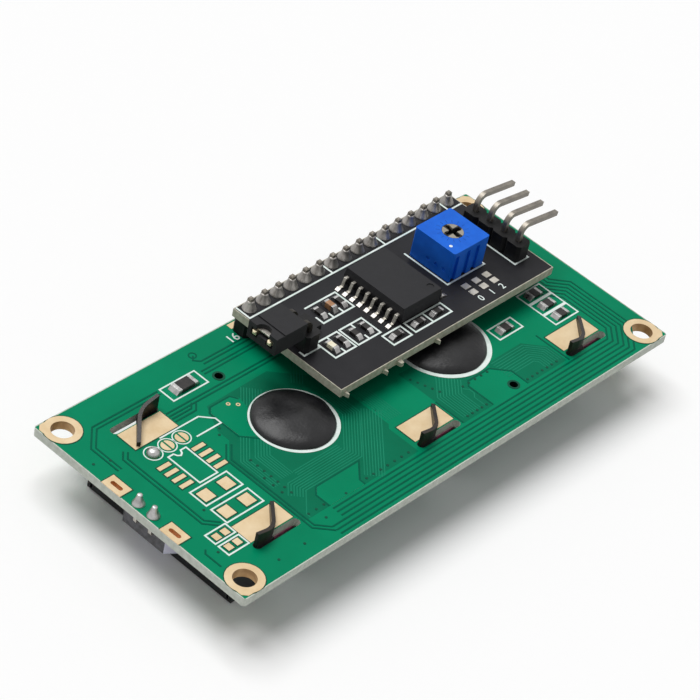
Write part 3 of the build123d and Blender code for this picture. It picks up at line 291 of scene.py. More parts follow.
finishes = {
    "greenMask": {
        "tones": ("007f59", "008961"), "cloud": 90.0, "rough": (0.28, 0.36),
        "skin": 2500.0, "bump": 0.04, "shine": 0.05, "edge": 0,
    },
    "blackMask": {
        "tones": ("202023", "28282b"), "cloud": 160.0, "rough": (0.32, 0.45),
        "skin": 2600.0, "bump": 0.08, "shine": 0.12, "edge": 0,
    },
    "goldPad": {
        "tones": ("d6bb90", "e3cda8"), "cloud": 420.0, "rough": (0.42, 0.55),
        "skin": 3500.0, "bump": 0.12, "metal": 0.15, "shine": 0.3,
    },
    "leadTin": {
        "tones": ("a8a49b", "c8c4bb"), "cloud": 900.0, "rough": (0.34, 0.46),
        "skin": 4200.0, "bump": 0.15, "metal": 0.85,
    },
    "solderMetal": {
        "tones": ("969594", "bcbbb9"), "cloud": 1300.0, "rough": (0.26, 0.42),
        "skin": 3800.0, "bump": 0.3, "metal": 0.92,
    },
    "dullSolder": {
        "tones": ("86837f", "aeaaa5"), "cloud": 1100.0, "rough": (0.36, 0.5),
        "skin": 3800.0, "bump": 0.3, "metal": 0.85,
    },
    "pinMetal": {
        "tones": ("6d6861", "8d877d"), "cloud": 800.0, "rough": (0.34, 0.48),
        "skin": 5000.0, "bump": 0.15, "metal": 0.88,
    },
    "goldTip": {
        "tones": ("cdbf9b", "e4dabb"), "cloud": 900.0, "rough": (0.26, 0.38),
        "skin": 5000.0, "bump": 0.12, "metal": 0.8,
    },
    "bezelPaint": {
        "tones": ("161618", "202022"), "cloud": 260.0, "rough": (0.36, 0.5),
        "skin": 3200.0, "bump": 0.12, "shine": 0.25,
    },
    "resin": {
        "tones": ("0b0b0d", "19191b"), "cloud": 380.0, "rough": (0.3, 0.46),
        "skin": 2400.0, "bump": 0.6, "shine": 0.3, "edge": 0,
    },
    "chipPlastic": {
        "tones": ("29292b", "313133"), "cloud": 700.0, "rough": (0.6, 0.75),
        "skin": 6000.0, "bump": 0.3, "shine": 0.15,
    },
    "blockPlastic": {
        "tones": ("111112", "1a1a1b"), "cloud": 500.0, "rough": (0.42, 0.6),
        "skin": 4200.0, "bump": 0.22, "shine": 0.18,
    },
    "capPlastic": {
        "tones": ("232325", "2c2c2e"), "cloud": 900.0, "rough": (0.5, 0.65),
        "skin": 6500.0, "bump": 0.45, "shine": 0.15,
    },
    "chipBlack": {
        "tones": ("1b1a1a", "2c2826"), "cloud": 1200.0, "rough": (0.3, 0.45),
        "skin": 5200.0, "bump": 0.12, "shine": 0.3,
    },
    "brownCeramic": {
        "tones": ("9c6c44", "bd9068"), "cloud": 1200.0, "rough": (0.4, 0.55),
        "skin": 5200.0, "bump": 0.15,
    },
    "lightResin": {
        "tones": ("efe6c6", "fbf6e2"), "cloud": 1400.0, "rough": (0.25, 0.35),
        "skin": 4000.0, "bump": 0.06, "milk": 0.2,
    },
    "blueCase": {
        "tones": ("0f5fd0", "1a6ce0"), "cloud": 420.0, "rough": (0.42, 0.55),
        "skin": 3600.0, "bump": 0.16, "shine": 0.16,
    },
    "blueShade": {
        "tones": ("0d49a6", "1254b4"), "cloud": 900.0, "rough": (0.45, 0.55),
        "skin": 3600.0, "bump": 0.1, "shine": 0.16, "edge": 0,
    },
    "paleBase": {
        "tones": ("cfcabb", "dedacd"), "cloud": 600.0, "rough": (0.5, 0.6),
        "skin": 3000.0, "bump": 0.1,
    },
    "rotorPlastic": {
        "tones": ("8f897c", "aaa394"), "cloud": 900.0, "rough": (0.45, 0.6),
        "skin": 4800.0, "bump": 0.18, "shine": 0.3,
    },
    "guidePlastic": {
        "tones": ("d3d3e6", "e6e6f4"), "cloud": 350.0, "rough": (0.22, 0.34),
        "skin": 2200.0, "bump": 0.06, "milk": 0.3,
    },
    "holderPlastic": {
        "tones": ("c9c9de", "dedeee"), "cloud": 350.0, "rough": (0.3, 0.42),
        "skin": 2600.0, "bump": 0.08, "milk": 0.25,
    },
    "whiteFilm": {
        "tones": ("ececec", "f8f8f8"), "cloud": 300.0, "rough": (0.45, 0.6),
        "skin": 3000.0, "bump": 0.04,
    },
    "displayFilm": {
        "tones": ("12125e", "191978"), "cloud": 60.0, "rough": (0.1, 0.18),
        "skin": 900.0, "bump": 0.02, "shine": 0.25,
    },
    "displayGlass": {
        "tones": ("171948", "202258"), "cloud": 80.0, "rough": (0.06, 0.12),
        "skin": 1200.0, "bump": 0.02, "shine": 0.4,
    },
    "pinkRubber": {
        "tones": ("ec80a8", "f6a4c0"), "cloud": 700.0, "rough": (0.5, 0.65),
        "skin": 4000.0, "bump": 0.12,
    },
    "whiteInk": {
        "tones": ("d9ebe3", "f2f9f6"), "cloud": 900.0, "rough": (0.5, 0.62),
        "skin": 5000.0, "bump": 0.2, "shine": 0.3, "edge": 0,
    },
    "darkTrace": {
        "tones": ("005a43", "006249"), "cloud": 300.0, "rough": (0.28, 0.36),
        "skin": 2500.0, "bump": 0.04, "shine": 0.05, "edge": 0,
    },
    "fineField": {
        "tones": ("046c4d", "067454"), "cloud": 160.0, "rough": (0.28, 0.36),
        "skin": 2500.0, "bump": 0.04, "shine": 0.05, "edge": 0,
    },
    "fineLine": {
        "tones": ("188262", "208b6b"), "cloud": 300.0, "rough": (0.28, 0.36),
        "skin": 2500.0, "bump": 0.04, "shine": 0.05, "edge": 0,
    },
    "viaInk": {
        "tones": ("004634", "00523c"), "cloud": 900.0, "rough": (0.35, 0.45),
        "skin": 3000.0, "bump": 0.1, "shine": 0.12, "edge": 0,
    },
}
made = {name: mixFinish(name, look) for name, look in finishes.items()}
made["slotGold"] = mixFinish("slotGold", finishes["goldPad"])

# Bare fibreglass on a board's cut sides and in the narrow strip that the mask leaves free
fibreglass = {
    "greenMask": {
        "centre": (0, 0), "half": (40.0, 18.0), "margin": 0.14,
        "tones": ("c2c8bd", "d2d7cd"), "cloud": 1500.0, "rough": 0.75,
    },
    "blackMask": {
        "centre": (12.95, 7.25), "half": (20.7, 9.45), "margin": 0.12,
        "tones": ("b3ae9c", "cbc7b8"), "cloud": 1500.0, "rough": 0.75,
    },
}
cutEdge = {"upright": 0.5, "wildScale": 900.0, "waver": 0.12}


def showFibreglass(material, s, edge):
    tree = material.node_tree
    x, y = placeParts(tree)[:2]
    side = upright(tree, edge["upright"])
    wild = tree.nodes.new("ShaderNodeTexNoise")
    wild.inputs["Scale"].default_value = edge["wildScale"]
    swing = stepNode(tree, "SUBTRACT", wild.outputs["Fac"], 0.5)
    waver = stepNode(tree, "MULTIPLY", swing, edge["waver"] * mm)
    over = []
    for value, centre, half in zip((x, y), s["centre"], s["half"]):
        past = stepNode(tree, "ADD", offFrom(tree, value, centre), waver)
        over.append(stepNode(tree, "GREATER_THAN", past, (half - s["margin"]) * mm))
    bare = stepNode(tree, "MAXIMUM", side, stepNode(tree, "MAXIMUM", *over))
    overlay(material, bare, s)


for finish, look in fibreglass.items():
    showFibreglass(made[finish], look, cutEdge)

# Places that are darker or warmer than the rest of their finish: mostly painted shade, one
# painted reflection on the tabs, and coppery pad walls
shades = {
    "spareHoleShade": {
        "places": [(-15.0, 11.3), (15.0, -12.2)], "radius": 0.6,
        "tones": ("06120e", "0a1a14"), "cloud": 900.0, "rough": 0.6,
    },
    "barrelCopperShade": {"upright": 0.4, "tones": ("b18c5c", "cba877"), "cloud": 900.0, "rough": 0.45},
    "slotWalls": {"upright": 0.4, "tones": ("db9654", "f2b87c"), "cloud": 900.0, "rough": 0.45},
    "rotorSlotShade": {
        "level": 9.5, "fade": 0.35,
        "tones": ("0c0c0c", "151413"), "cloud": 900.0, "rough": 0.7,
    },
    "rotorCrossShade": {
        "x": 22.75, "y": 7.4, "half": 0.36,
        "tones": ("121111", "1e1c1a"), "cloud": 900.0, "rough": 0.7,
    },
    "innerPinShade": {"from": -9.5, "tones": ("1d1b18", "37332c"), "cloud": 1200.0, "rough": 0.5},
    "holderEndShade": {"faces": -0.6, "tones": ("1c1c20", "4a4a52"), "cloud": 1600.0, "rough": 0.3},
    "tabGoldReflection": {
        "level": 1.3, "spotScale": 420.0, "spotFrom": 0.46,
        "tones": ("15110e", "33261a"), "cloud": 800.0, "rough": 0.34,
    },
}


# Painted shade: the two spare holes are painted dark inside
def shadeSpareHoles(material, s):
    tree = material.node_tree
    x, y = placeParts(tree)[:2]
    for x0, y0 in s["places"]:
        offX = stepNode(tree, "POWER", stepNode(tree, "SUBTRACT", x, x0 * mm), 2.0)
        offY = stepNode(tree, "POWER", stepNode(tree, "SUBTRACT", y, y0 * mm), 2.0)
        squared = stepNode(tree, "ADD", offX, offY)
        overlay(material, stepNode(tree, "LESS_THAN", squared, (s["radius"] * mm) ** 2), s)


# Gold barrel walls and slot walls look coppery; the barrel walls' darker tone is also painted
# shade inside the holes
def darkenWalls(material, s):
    overlay(material, upright(material.node_tree, s["upright"]), s)


# Painted shade: the trimmer's slot is painted dark below the rotor's face
def shadeBelowRotorFace(material, s):
    tree = material.node_tree
    low = tree.nodes.new("ShaderNodeMapRange")
    low.inputs["From Min"].default_value = s["level"] * mm
    low.inputs["From Max"].default_value = (s["level"] - s["fade"]) * mm
    tree.links.new(placeParts(tree)[2], low.inputs["Value"])
    overlay(material, low.outputs["Result"], s)


# Painted shade: the cross is painted dark out to the rotor's rim, like its slot
def shadeRotorCross(material, s):
    tree = material.node_tree
    x, y = placeParts(tree)[:2]
    nearer = stepNode(tree, "MINIMUM", offFrom(tree, x, s["x"]), offFrom(tree, y, s["y"]))
    overlay(material, stepNode(tree, "LESS_THAN", nearer, s["half"] * mm), s)


# Painted shade: jumper pins are painted dark, and rougher, between their block and the cap
def shadePinBends(material, s):
    tree = material.node_tree
    overlay(material, stepNode(tree, "GREATER_THAN", placeParts(tree)[0], s["from"] * mm), s)


# Painted shade: the backlight holder's end is painted dark, mottled with lighter painted
# reflections
def shadeHolderEnd(material, s):
    tree = material.node_tree
    overlay(material, stepNode(tree, "LESS_THAN", facing(tree)[0], s["faces"]), s)


# Painted reflection: the folded tabs show the gold below them in warm spots
def tabGoldReflection(material, s):
    tree = material.node_tree
    high = stepNode(tree, "GREATER_THAN", placeParts(tree)[2], s["level"] * mm)
    spots = tree.nodes.new("ShaderNodeTexNoise")
    spots.inputs["Scale"].default_value = s["spotScale"]
    some = stepNode(tree, "GREATER_THAN", spots.outputs["Fac"], s["spotFrom"])
    overlay(material, stepNode(tree, "MULTIPLY", high, some), s)


shadeSpareHoles(made["greenMask"], shades["spareHoleShade"])
darkenWalls(made["goldPad"], shades["barrelCopperShade"])
darkenWalls(made["slotGold"], shades["slotWalls"])
shadeBelowRotorFace(made["rotorPlastic"], shades["rotorSlotShade"])
shadeRotorCross(made["rotorPlastic"], shades["rotorCrossShade"])
shadePinBends(made["goldTip"], shades["innerPinShade"])
shadeHolderEnd(made["holderPlastic"], shades["holderEndShade"])
tabGoldReflection(made["bezelPaint"], shades["tabGoldReflection"])
print("finishes mixed:", len(made))

nodeFinishes = {
    "greenMask": ["lcd_board"],
    "blackMask": ["adapter_board"],
    "goldPad": ["mounting_hole_rings", "tab_pads", "circuit_pads", "split_pads"],
    "slotGold": ["slotted_pads"],
    "leadTin": [
        "jumper_clip", "backlight_legs", "expander_leads", "switch_leads", "trimmer_legs",
        "address_pads",
    ],
    "solderMetal": [
        "bridge_solder", "backlight_solder", "load_resistor_ends", "board_resistor_ends",
        "adapter_resistor_ends", "adapter_capacitor_ends", "power_light_ends",
    ],
    "dullSolder": [
        "expander_solder", "adapter_solder", "display_solder", "trimmer_solder",
        "io_header_solder", "jumper_solder",
    ],
    "pinMetal": ["header_pins", "io_header_pins"],
    "goldTip": ["jumper_pins"],
    "bezelPaint": ["bezel"],
    "resin": ["left_driver_blob", "right_driver_blob"],
    "chipPlastic": ["expander_body"],
    "blockPlastic": ["header_strip", "io_header_block", "jumper_block", "switch_transistor"],
    "capPlastic": ["jumper_cap"],
    "chipBlack": ["load_resistor", "board_resistors", "adapter_resistors"],
    "brownCeramic": ["adapter_capacitor"],
    "lightResin": ["power_light", "backlight_leds"],
    "blueCase": ["trimmer_case"],
    "paleBase": ["trimmer_base"],
    "rotorPlastic": ["trimmer_rotor"],
    "guidePlastic": ["light_guide"],
    "holderPlastic": ["led_holder"],
    "whiteFilm": ["diffuser_film", "reflector_film"],
    "displayFilm": ["front_polariser", "rear_polariser"],
    "displayGlass": ["front_glass", "rear_glass"],
    "pinkRubber": ["near_contact_strip", "far_contact_strip"],
}
for finish, members in nodeFinishes.items():
    for member in members:
        nodes[member].data.materials.clear()
        nodes[member].data.materials.append(made[finish])
print("nodes dressed:", sum(len(m) for m in nodeFinishes.values()))


# Shared by all drawn pieces
drawn = {
    "weld": 0.0005,  # mm
    "stepUp": 0.0015,  # mm from one run's top to the next one's
    "stepCount": 9,  # runs before the first top comes again
    "fontSize": 1.4,  # for a digit's height of one
    "fontBold": 0.00001,  # m
}


def weldPoints(mesh):
    bmesh.ops.remove_doubles(mesh, verts=mesh.verts, dist=drawn["weld"] * mm)


def keepPiece(name, mesh, finish, body, smooth=False):
    weldPoints(mesh)
    bmesh.ops.recalc_face_normals(mesh, faces=mesh.faces)
    data = bpy.data.meshes.new(name)
    mesh.to_mesh(data)
    mesh.free()
    data.materials.append(made[finish])
    if smooth:
        data.shade_smooth()
    piece = bpy.data.objects.new(name, data)
    bpy.context.scene.collection.objects.link(piece)
    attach(piece, body)
    return piece


# Gives flat faces their thickness
def thicken(mesh, faces, height):
    raised = bmesh.ops.extrude_face_region(mesh, geom=faces)["geom"]
    tops = [v for v in raised if isinstance(v, bmesh.types.BMVert)]
    bmesh.ops.translate(mesh, verts=tops, vec=(0, 0, height * mm))


# Spins points and edges all the way round an upright axis
def spinRound(mesh, parts, middle, steps):
    turn = {"axis": (0, 0, 1), "angle": 2 * math.pi, "steps": steps, "use_merge": True}
    bmesh.ops.spin(mesh, geom=parts, cent=middle, **turn)


# How far each corner of a run moves for a side step of one, so that its lines keep their width
def mitres(points, closed):
    moves = []
    count = len(points)
    for i, p in enumerate(points):
        here = Vector(p)
        before = here - Vector(points[i - 1]) if i or closed else None
        after = Vector(points[(i + 1) % count]) - here if i < count - 1 or closed else None
        before = (before or after).normalized()
        after = (after or before).normalized()
        across = Vector((before.y + after.y, -before.x - after.x))
        moves.append(across * 2 / across.length_squared)
    return moves


# A flat strip of ink or trace along a run, in mm
def addRun(mesh, points, width, level, height):
    closed = points[0] == points[-1]
    if closed:
        points = points[:-1]
    pairs = []
    for p, move in zip(points, mitres(points, closed)):
        sides = [Vector(p) + move * width / 2, Vector(p) - move * width / 2]
        pairs.append([mesh.verts.new((v.x * mm, v.y * mm, level * mm)) for v in sides])
    if closed:
        pairs.append(pairs[0])
    faces = [mesh.faces.new((a[0], a[1], b[1], b[0])) for a, b in zip(pairs, pairs[1:])]
    thicken(mesh, faces, height)


# Runs that cross differ a little in height, so no two faces lie in one another
def addRuns(mesh, runs, width, level, height):
    for i, run in enumerate(runs):
        addRun(mesh, run, width, level, height + drawn["stepUp"] * (i % drawn["stepCount"]))


# A flat ring, its square section spun about the centre
def addRing(mesh, centre, inner, outer, level, height, steps):
    x, y = centre
    top = level + height
    corners = ((inner, level), (outer, level), (outer, top), (inner, top))
    section = [mesh.verts.new(((x + r) * mm, y * mm, z * mm)) for r, z in corners]
    face = mesh.faces.new(section)
    rim = list(face.edges)
    mesh.faces.remove(face)
    spinRound(mesh, section + rim, (x * mm, y * mm, level * mm), steps)


def boxRun(x0, y0, x1, y1):
    return [(x0, y0), (x1, y0), (x1, y1), (x0, y1), (x0, y0)]


def addDot(mesh, x, y, radius, level, height, sides=12):
    spot = Matrix.Scale(mm, 4) @ Matrix.Translation((x, y, level + height / 2))
    size = {"segments": sides, "radius1": radius, "radius2": radius, "depth": height}
    bmesh.ops.create_cone(mesh, cap_ends=True, matrix=spot, **size)


# The same run drawn several times side by side, mitred at its corners
def sideBySide(points, count, gap):
    corners = list(zip(points, mitres(points, False)))
    return [[tuple(Vector(p) + m * gap * lane) for p, m in corners] for lane in range(count)]


# Generic digits, made a mesh before they are placed
def addDigits(mesh, digits, x, y, height, level, thick):
    line = bpy.data.curves.new("digits", "FONT")
    line.body = digits
    line.size = height * mm * drawn["fontSize"]
    line.extrude = thick / 2 * mm
    line.offset = drawn["fontBold"]
    holder = bpy.data.objects.new("digits", line)
    bpy.context.scene.collection.objects.link(holder)
    bpy.context.view_layer.update()
    shown = holder.evaluated_get(bpy.context.evaluated_depsgraph_get())
    flat = bpy.data.meshes.new_from_object(shown)
    flat.transform(Matrix.Translation((x * mm, y * mm, (level + thick / 2) * mm)))
    mesh.from_mesh(flat)
    bpy.data.objects.remove(holder)
    bpy.data.curves.remove(line)
    bpy.data.meshes.remove(flat)


# White ink on the display board's back
boardInk = {
    "level": 1.2,
    "thick": 0.05,
    "line": 0.22,
    "leftRing": (-13.16, -0.08, 5.2, 5.82),  # x, y, inner, outer
    "rightRing": (13.2, -1.22, 5.9, 6.68),  # x, y, inner, outer
    "splitRings": [(-31.5, 6.0), (-29.1, 6.0), (-26.7, 6.0)],
    "splitRing": (1.1, 1.25),  # inner, outer
    "boxes": [
        (-32.7, -4.3, -26.5, -1.5), (-32.7, -7.8, -26.5, -5.1),
        (-36.35, -9.5, -33.0, -7.75), (-36.35, -11.75, -33.0, -10.0),
        (-22.9, 11.25, -16.9, 13.8), (20.2, -5.4, 24.8, -3.15),
        (28.8, -7.8, 33.4, -5.7), (28.8, -5.5, 33.4, -3.2), (28.8, -3.0, 33.4, -0.9),
    ],
    "chipOutline": [
        (-29.6, 4.45), (-30.5, 4.45), (-30.5, -1.0), (-27.5, -1.0), (-27.5, 4.45),
        (-28.4, 4.45), (-28.6, 4.0), (-29.0, 3.75), (-29.4, 4.0), (-29.6, 4.45),
    ],
    "labelOutline": [(-29.0, 7.45), (-22.4, 7.45), (-20.9, 6.0), (-20.9, 5.0), (-25.1, 5.0)],
    "digits": ("16", -9.35, 14.75, 1.35),  # digits, x, y, height
    "driverSteps": 72,
    "padSteps": 36,
}


def drawBoardInk(s):
    mesh = bmesh.new()
    for x, y, inner, outer in (s["leftRing"], s["rightRing"]):
        addRing(mesh, (x, y), inner, outer, s["level"], s["thick"], s["driverSteps"])
    for x, y in s["splitRings"]:
        addRing(mesh, (x, y), *s["splitRing"], s["level"], s["thick"], s["padSteps"])
    outlines = [boxRun(*box) for box in s["boxes"]] + [s["chipOutline"], s["labelOutline"]]
    addRuns(mesh, outlines, s["line"], s["level"], s["thick"])
    digits, x, y, height = s["digits"]
    addDigits(mesh, digits, x, y, height, s["level"], s["thick"])
    keepPiece("boardInk", mesh, "whiteInk", "module")
    print("board ink drawn")


drawBoardInk(boardInk)

# Traces under the green mask: dark lines, finer pale ones over a darker field, and small holes
boardTraces = {
    "level": 1.2,
    "fieldThick": 0.006,
    "fineThick": 0.01,
    "islandThick": 0.024,
    "loopThick": 0.025,
    "darkThick": 0.026,
    "dotThick": 0.04,
    "goldThick": 0.05,
    "wide": 0.24,
    "fine": 0.12,
    "dot": 0.19,
    "fields": [
        [
            (-25.1, -13.2), (-25.1, -0.6), (-22.3, 2.2), (-22.3, 4.2), (-20.2, 8.2),
            (-9.4, 8.4), (-3.9, 3.0), (-3.9, -7.6), (-4.5, -8.2), (-4.5, -13.2),
        ],
        [
            (4.1, -13.2), (4.1, -2.0), (11.0, -2.0), (14.6, -7.9), (10.6, -8.2),
            (9.9, -9.0), (9.9, -13.2),
        ],
        [
            (15.4, -7.4), (22.0, -7.4), (24.5, -9.9), (24.5, -13.2), (16.7, -13.2),
            (16.7, -10.2), (14.8, -8.3),
        ],
    ],
    "islands": [
        [
            (-20.5, -13.2), (-20.5, -11.0), (-19.5, -10.0), (-12.1, -10.0), (-14.2, -12.1),
            (-14.2, -13.2),
        ],
        [
            (-20.7, 1.9), (-20.7, 6.9), (-19.9, 7.7), (-16.6, 7.7), (-15.8, 6.9),
            (-16.2, 5.0), (-18.2, 3.2), (-18.9, 0.6),
        ],
    ],
    "edgeLines": [  # run, count, gap
        ([
            (-20.6, -13.75), (32.4, -13.75), (34.0, -12.15), (34.0, -4.6), (31.9, -2.5),
            (31.9, 2.0),
        ], 3, 0.7),
        ([
            (-22.9, -15.85), (33.27, -15.85), (36.1, -13.02), (36.1, -3.73), (34.0, -1.63),
            (34.0, 2.0),
        ], 3, 0.7),
    ],
    "pairs": [
        [(-34.2, 8.4), (-35.2, 7.4), (-35.2, -6.1), (-33.6, -7.7)],
        [(-23.3, 13.75), (-34.3, 13.75), (-37.0, 11.05), (-37.0, 6.3)],
        [(-6.6, 13.2), (-16.2, 13.2)],
        [(-6.6, 14.6), (-14.9, 14.6)],
        [(-25.3, 9.55), (-5.5, 9.55)],
        [(-25.3, 8.45), (-21.8, 8.45), (-20.9, 9.35)],
    ],
    "pairGap": -0.58,
    "singles": [
        [(-16.0, 6.8), (-16.6, 7.8), (-20.1, 7.8), (-20.85, 7.05), (-20.85, 2.0), (-18.95, 0.1)],
        [
            (-20.6, -13.2), (-20.6, -10.9), (-19.6, -9.9), (-11.9, -9.9), (-14.3, -12.3),
            (-14.3, -13.2),
        ],
        [(9.9, -13.1), (9.9, -8.9), (10.6, -8.2), (14.7, -8.2), (16.8, -10.3), (16.8, -13.1)],
        [(4.1, -13.1), (4.1, -8.4)],
        [(-37.9, -9.4), (-38.4, -9.9), (-38.4, -12.5)],
        [(-15.0, 15.9), (-15.6, 15.3), (-14.9, 14.6)],
        [(24.9, -7.6), (24.9, -13.4)],
        [(-22.6, 1.5), (-24.5, -0.4), (-24.5, -14.3), (-22.95, -15.85)],
        [(-23.1, 1.9), (-25.05, -0.05), (-25.05, -14.5), (-23.0, -16.55)],
    ],
    "bundles": [  # run, count, gap
        ([(-23.9, -13.1), (-23.9, -12.5), (-21.9, -10.5)], 1, -0.36),
        ([(-21.9, -10.5), (-21.0, -9.6), (-11.0, -9.6), (-5.2, -3.8), (-5.2, 0.9)], 7, -0.36),
        ([(-19.9, -7.08), (-12.0, -7.08)], 3, -0.36),
        ([(-13.2, -12.1), (-4.6, -3.5)], 8, 0.36),
        ([(-21.9, -6.5), (-21.9, -1.9), (-19.3, 0.7)], 6, 0.36),
        ([(-3.4, -7.2), (-3.4, 2.4)], 7, 0.36),
        ([(-23.9, -7.0), (-23.9, -1.4), (-19.9, 2.6)], 4, 0.36),
        ([(-16.6, 5.8), (-14.2, 8.2)], 8, 0.36),
        ([(-8.4, 5.0), (-5.2, 8.2)], 5, 0.36),
        ([(4.9, -12.5), (4.9, -8.0), (7.7, -5.2)], 9, 0.4),
        ([(8.9, -12.5), (8.9, -10.8), (9.5, -10.2), (9.5, -9.4), (8.9, -8.8)], 1, 0.4),
        ([(15.6, -7.8), (21.9, -7.8), (24.1, -10.0), (24.1, -12.5)], 8, 0.42),
    ],
    "dotRows": [  # x, y, step in x, step in y, count
        (-13.4, -12.6, 1.28, 0, 7), (-23.7, -12.6, 1.35, 0, 3), (5.5, -12.6, 0.92, 0, 5),
        (17.3, -12.6, 0.98, 0, 7), (-22.7, -1.9, 0, -1.15, 7), (-23.6, -5.1, 0, -1.5, 3),
        (-22.4, -14.3, 1.1, 0, 1), (9.2, -8.5, 1.2, 0, 5), (-22.6, 3.6, 0.85, 0.85, 2),
        (4.6, -3.6, 0.35, -0.95, 5), (-38.6, 8.9, 2.1, -0.7, 2), (-32.1, -15.8, 4.4, 0, 2),
        (-33.4, -4.6, 2.7, -0.2, 2), (-37.0, -10.6, 0, 0, 1), (-17.4, -12.9, 0, 0, 1),
    ],
    "vias": [(-17.75, 6.9), (-16.8, 6.1)],
    "via": (0.13, 0.3),  # inner, outer
    "holeRings": [(-15.0, 11.3), (15.0, -12.2)],
    "holeRing": (0.57, 0.85),  # inner, outer
    "loop": (-15.0, 16.0, 0.4, 0.6),  # x, y, inner, outer
    "headerPatch": [(-7.3, 17.15), (-5.3, 17.15)],
    "patchWide": 0.9,
    "ringSteps": 24,
    "viaSteps": 16,
}


def addField(mesh, outline, level, height):
    base = mesh.faces.new([mesh.verts.new((x * mm, y * mm, level * mm)) for x, y in outline])
    thicken(mesh, [base], height)


def drawTraces(s):
    mesh = bmesh.new()
    for outline in s["fields"]:
        addField(mesh, outline, s["level"], s["fieldThick"])
    keepPiece("boardField", mesh, "fineField", "module")

    mesh = bmesh.new()
    runs = []
    for path, count, gap in s["bundles"]:
        runs += sideBySide(path, count, gap)
    addRuns(mesh, runs, s["fine"], s["level"], s["fineThick"])
    keepPiece("boardFineLines", mesh, "fineLine", "module")

    mesh = bmesh.new()
    for outline in s["islands"]:
        addField(mesh, outline, s["level"], s["islandThick"])
    keepPiece("boardIslands", mesh, "greenMask", "module")

    mesh = bmesh.new()
    runs = list(s["singles"])
    for path, count, gap in s["edgeLines"]:
        runs += sideBySide(path, count, gap)
    for path in s["pairs"]:
        runs += sideBySide(path, 2, s["pairGap"])
    addRuns(mesh, runs, s["wide"], s["level"], s["darkThick"])
    x, y, inner, outer = s["loop"]
    addRing(mesh, (x, y), inner, outer, s["level"], s["loopThick"], s["ringSteps"])
    keepPiece("boardTraces", mesh, "darkTrace", "module")

    mesh = bmesh.new()
    for x, y, stepX, stepY, count in s["dotRows"]:
        for i in range(count):
            addDot(mesh, x + i * stepX, y + i * stepY, s["dot"], s["level"], s["dotThick"])
    for x, y in s["holeRings"]:
        addRing(mesh, (x, y), *s["holeRing"], s["level"], s["dotThick"], s["ringSteps"])
    keepPiece("boardDots", mesh, "viaInk", "module")

    mesh = bmesh.new()
    for x, y in s["vias"]:
        addRing(mesh, (x, y), *s["via"], s["level"], s["goldThick"], s["viaSteps"])
    addRun(mesh, s["headerPatch"], s["patchWide"], s["level"], s["goldThick"])
    keepPiece("boardVias", mesh, "goldPad", "module")
    print("traces drawn")


drawTraces(boardTraces)

# Thin dark gaps that the mask leaves round the bare pads
padGaps = {
    "level": 1.2,
    "thick": 0.03,
    "wide": 0.15,
    "holes": (37.5, 15.5),
    "ringShare": 0.8,
    "ringSteps": 48,
    "trim": (39.98, 17.98),  # kept just inside the board's edges
}


# Each separate pad of a node, as its lowest and highest corner in mm
def padBoxes(node):
    mesh = bmesh.new()
    mesh.from_mesh(nodes[node].data)
    weldPoints(mesh)
    waiting = set(mesh.verts)
    boxes = []
    while waiting:
        joined = [waiting.pop()]
        for v in joined:
            for edge in v.link_edges:
                other = edge.other_vert(v)
                if other in waiting:
                    waiting.remove(other)
                    joined.append(other)
        xs = [v.co.x / mm for v in joined]
        ys = [v.co.y / mm for v in joined]
        boxes.append((min(xs), min(ys), max(xs), max(ys)))
    mesh.free()
    return sorted(boxes)


# A gap stays open where its pad meets a tab's slot or the board's edge
def drawPadGaps(s):
    mesh = bmesh.new()
    half = s["wide"] / 2
    runs = []
    for x0, y0, x1, y1 in padBoxes("circuit_pads"):
        runs.append(boxRun(x0 - half, y0 - half, x1 + half, y1 + half))
    for x0, y0, x1, y1 in padBoxes("slotted_pads"):
        low, high, right = y0 - half, y1 + half, x1 + half
        runs.append([(x0, low), (right, low), (right, high), (x0, high)])
    for x0, y0, x1, y1 in padBoxes("tab_pads"):
        outer, inner = (y1, y0 - half) if y0 > 0 else (y0, y1 + half)
        left, right = x0 - half, x1 + half
        runs.append([(left, outer), (left, inner), (right, inner), (right, outer)])
    for run in runs:
        addRun(mesh, run, s["wide"], s["level"], s["thick"])
    x, y = s["holes"]
    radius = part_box("mounting_hole_rings")[1].x / mm - x
    for place in ((-x, -y), (x, -y), (-x, y), (x, y)):
        outer = radius + s["wide"] * s["ringShare"]
        addRing(mesh, place, radius, outer, s["level"], s["thick"], s["ringSteps"])
    weldPoints(mesh)
    for axis, reach in enumerate(s["trim"]):
        for way in (-1, 1):
            edge = Vector((0, 0, 0))
            edge[axis] = way * reach * mm
            parts = mesh.verts[:] + mesh.edges[:] + mesh.faces[:]
            plane = {"plane_co": edge, "plane_no": edge.normalized(), "clear_outer": True}
            bmesh.ops.bisect_plane(mesh, geom=parts, **plane)
    bmesh.ops.holes_fill(mesh, edges=mesh.edges)
    keepPiece("padGaps", mesh, "viaInk", "module")
    print("gaps drawn round", len(runs), "pads")


drawPadGaps(padGaps)

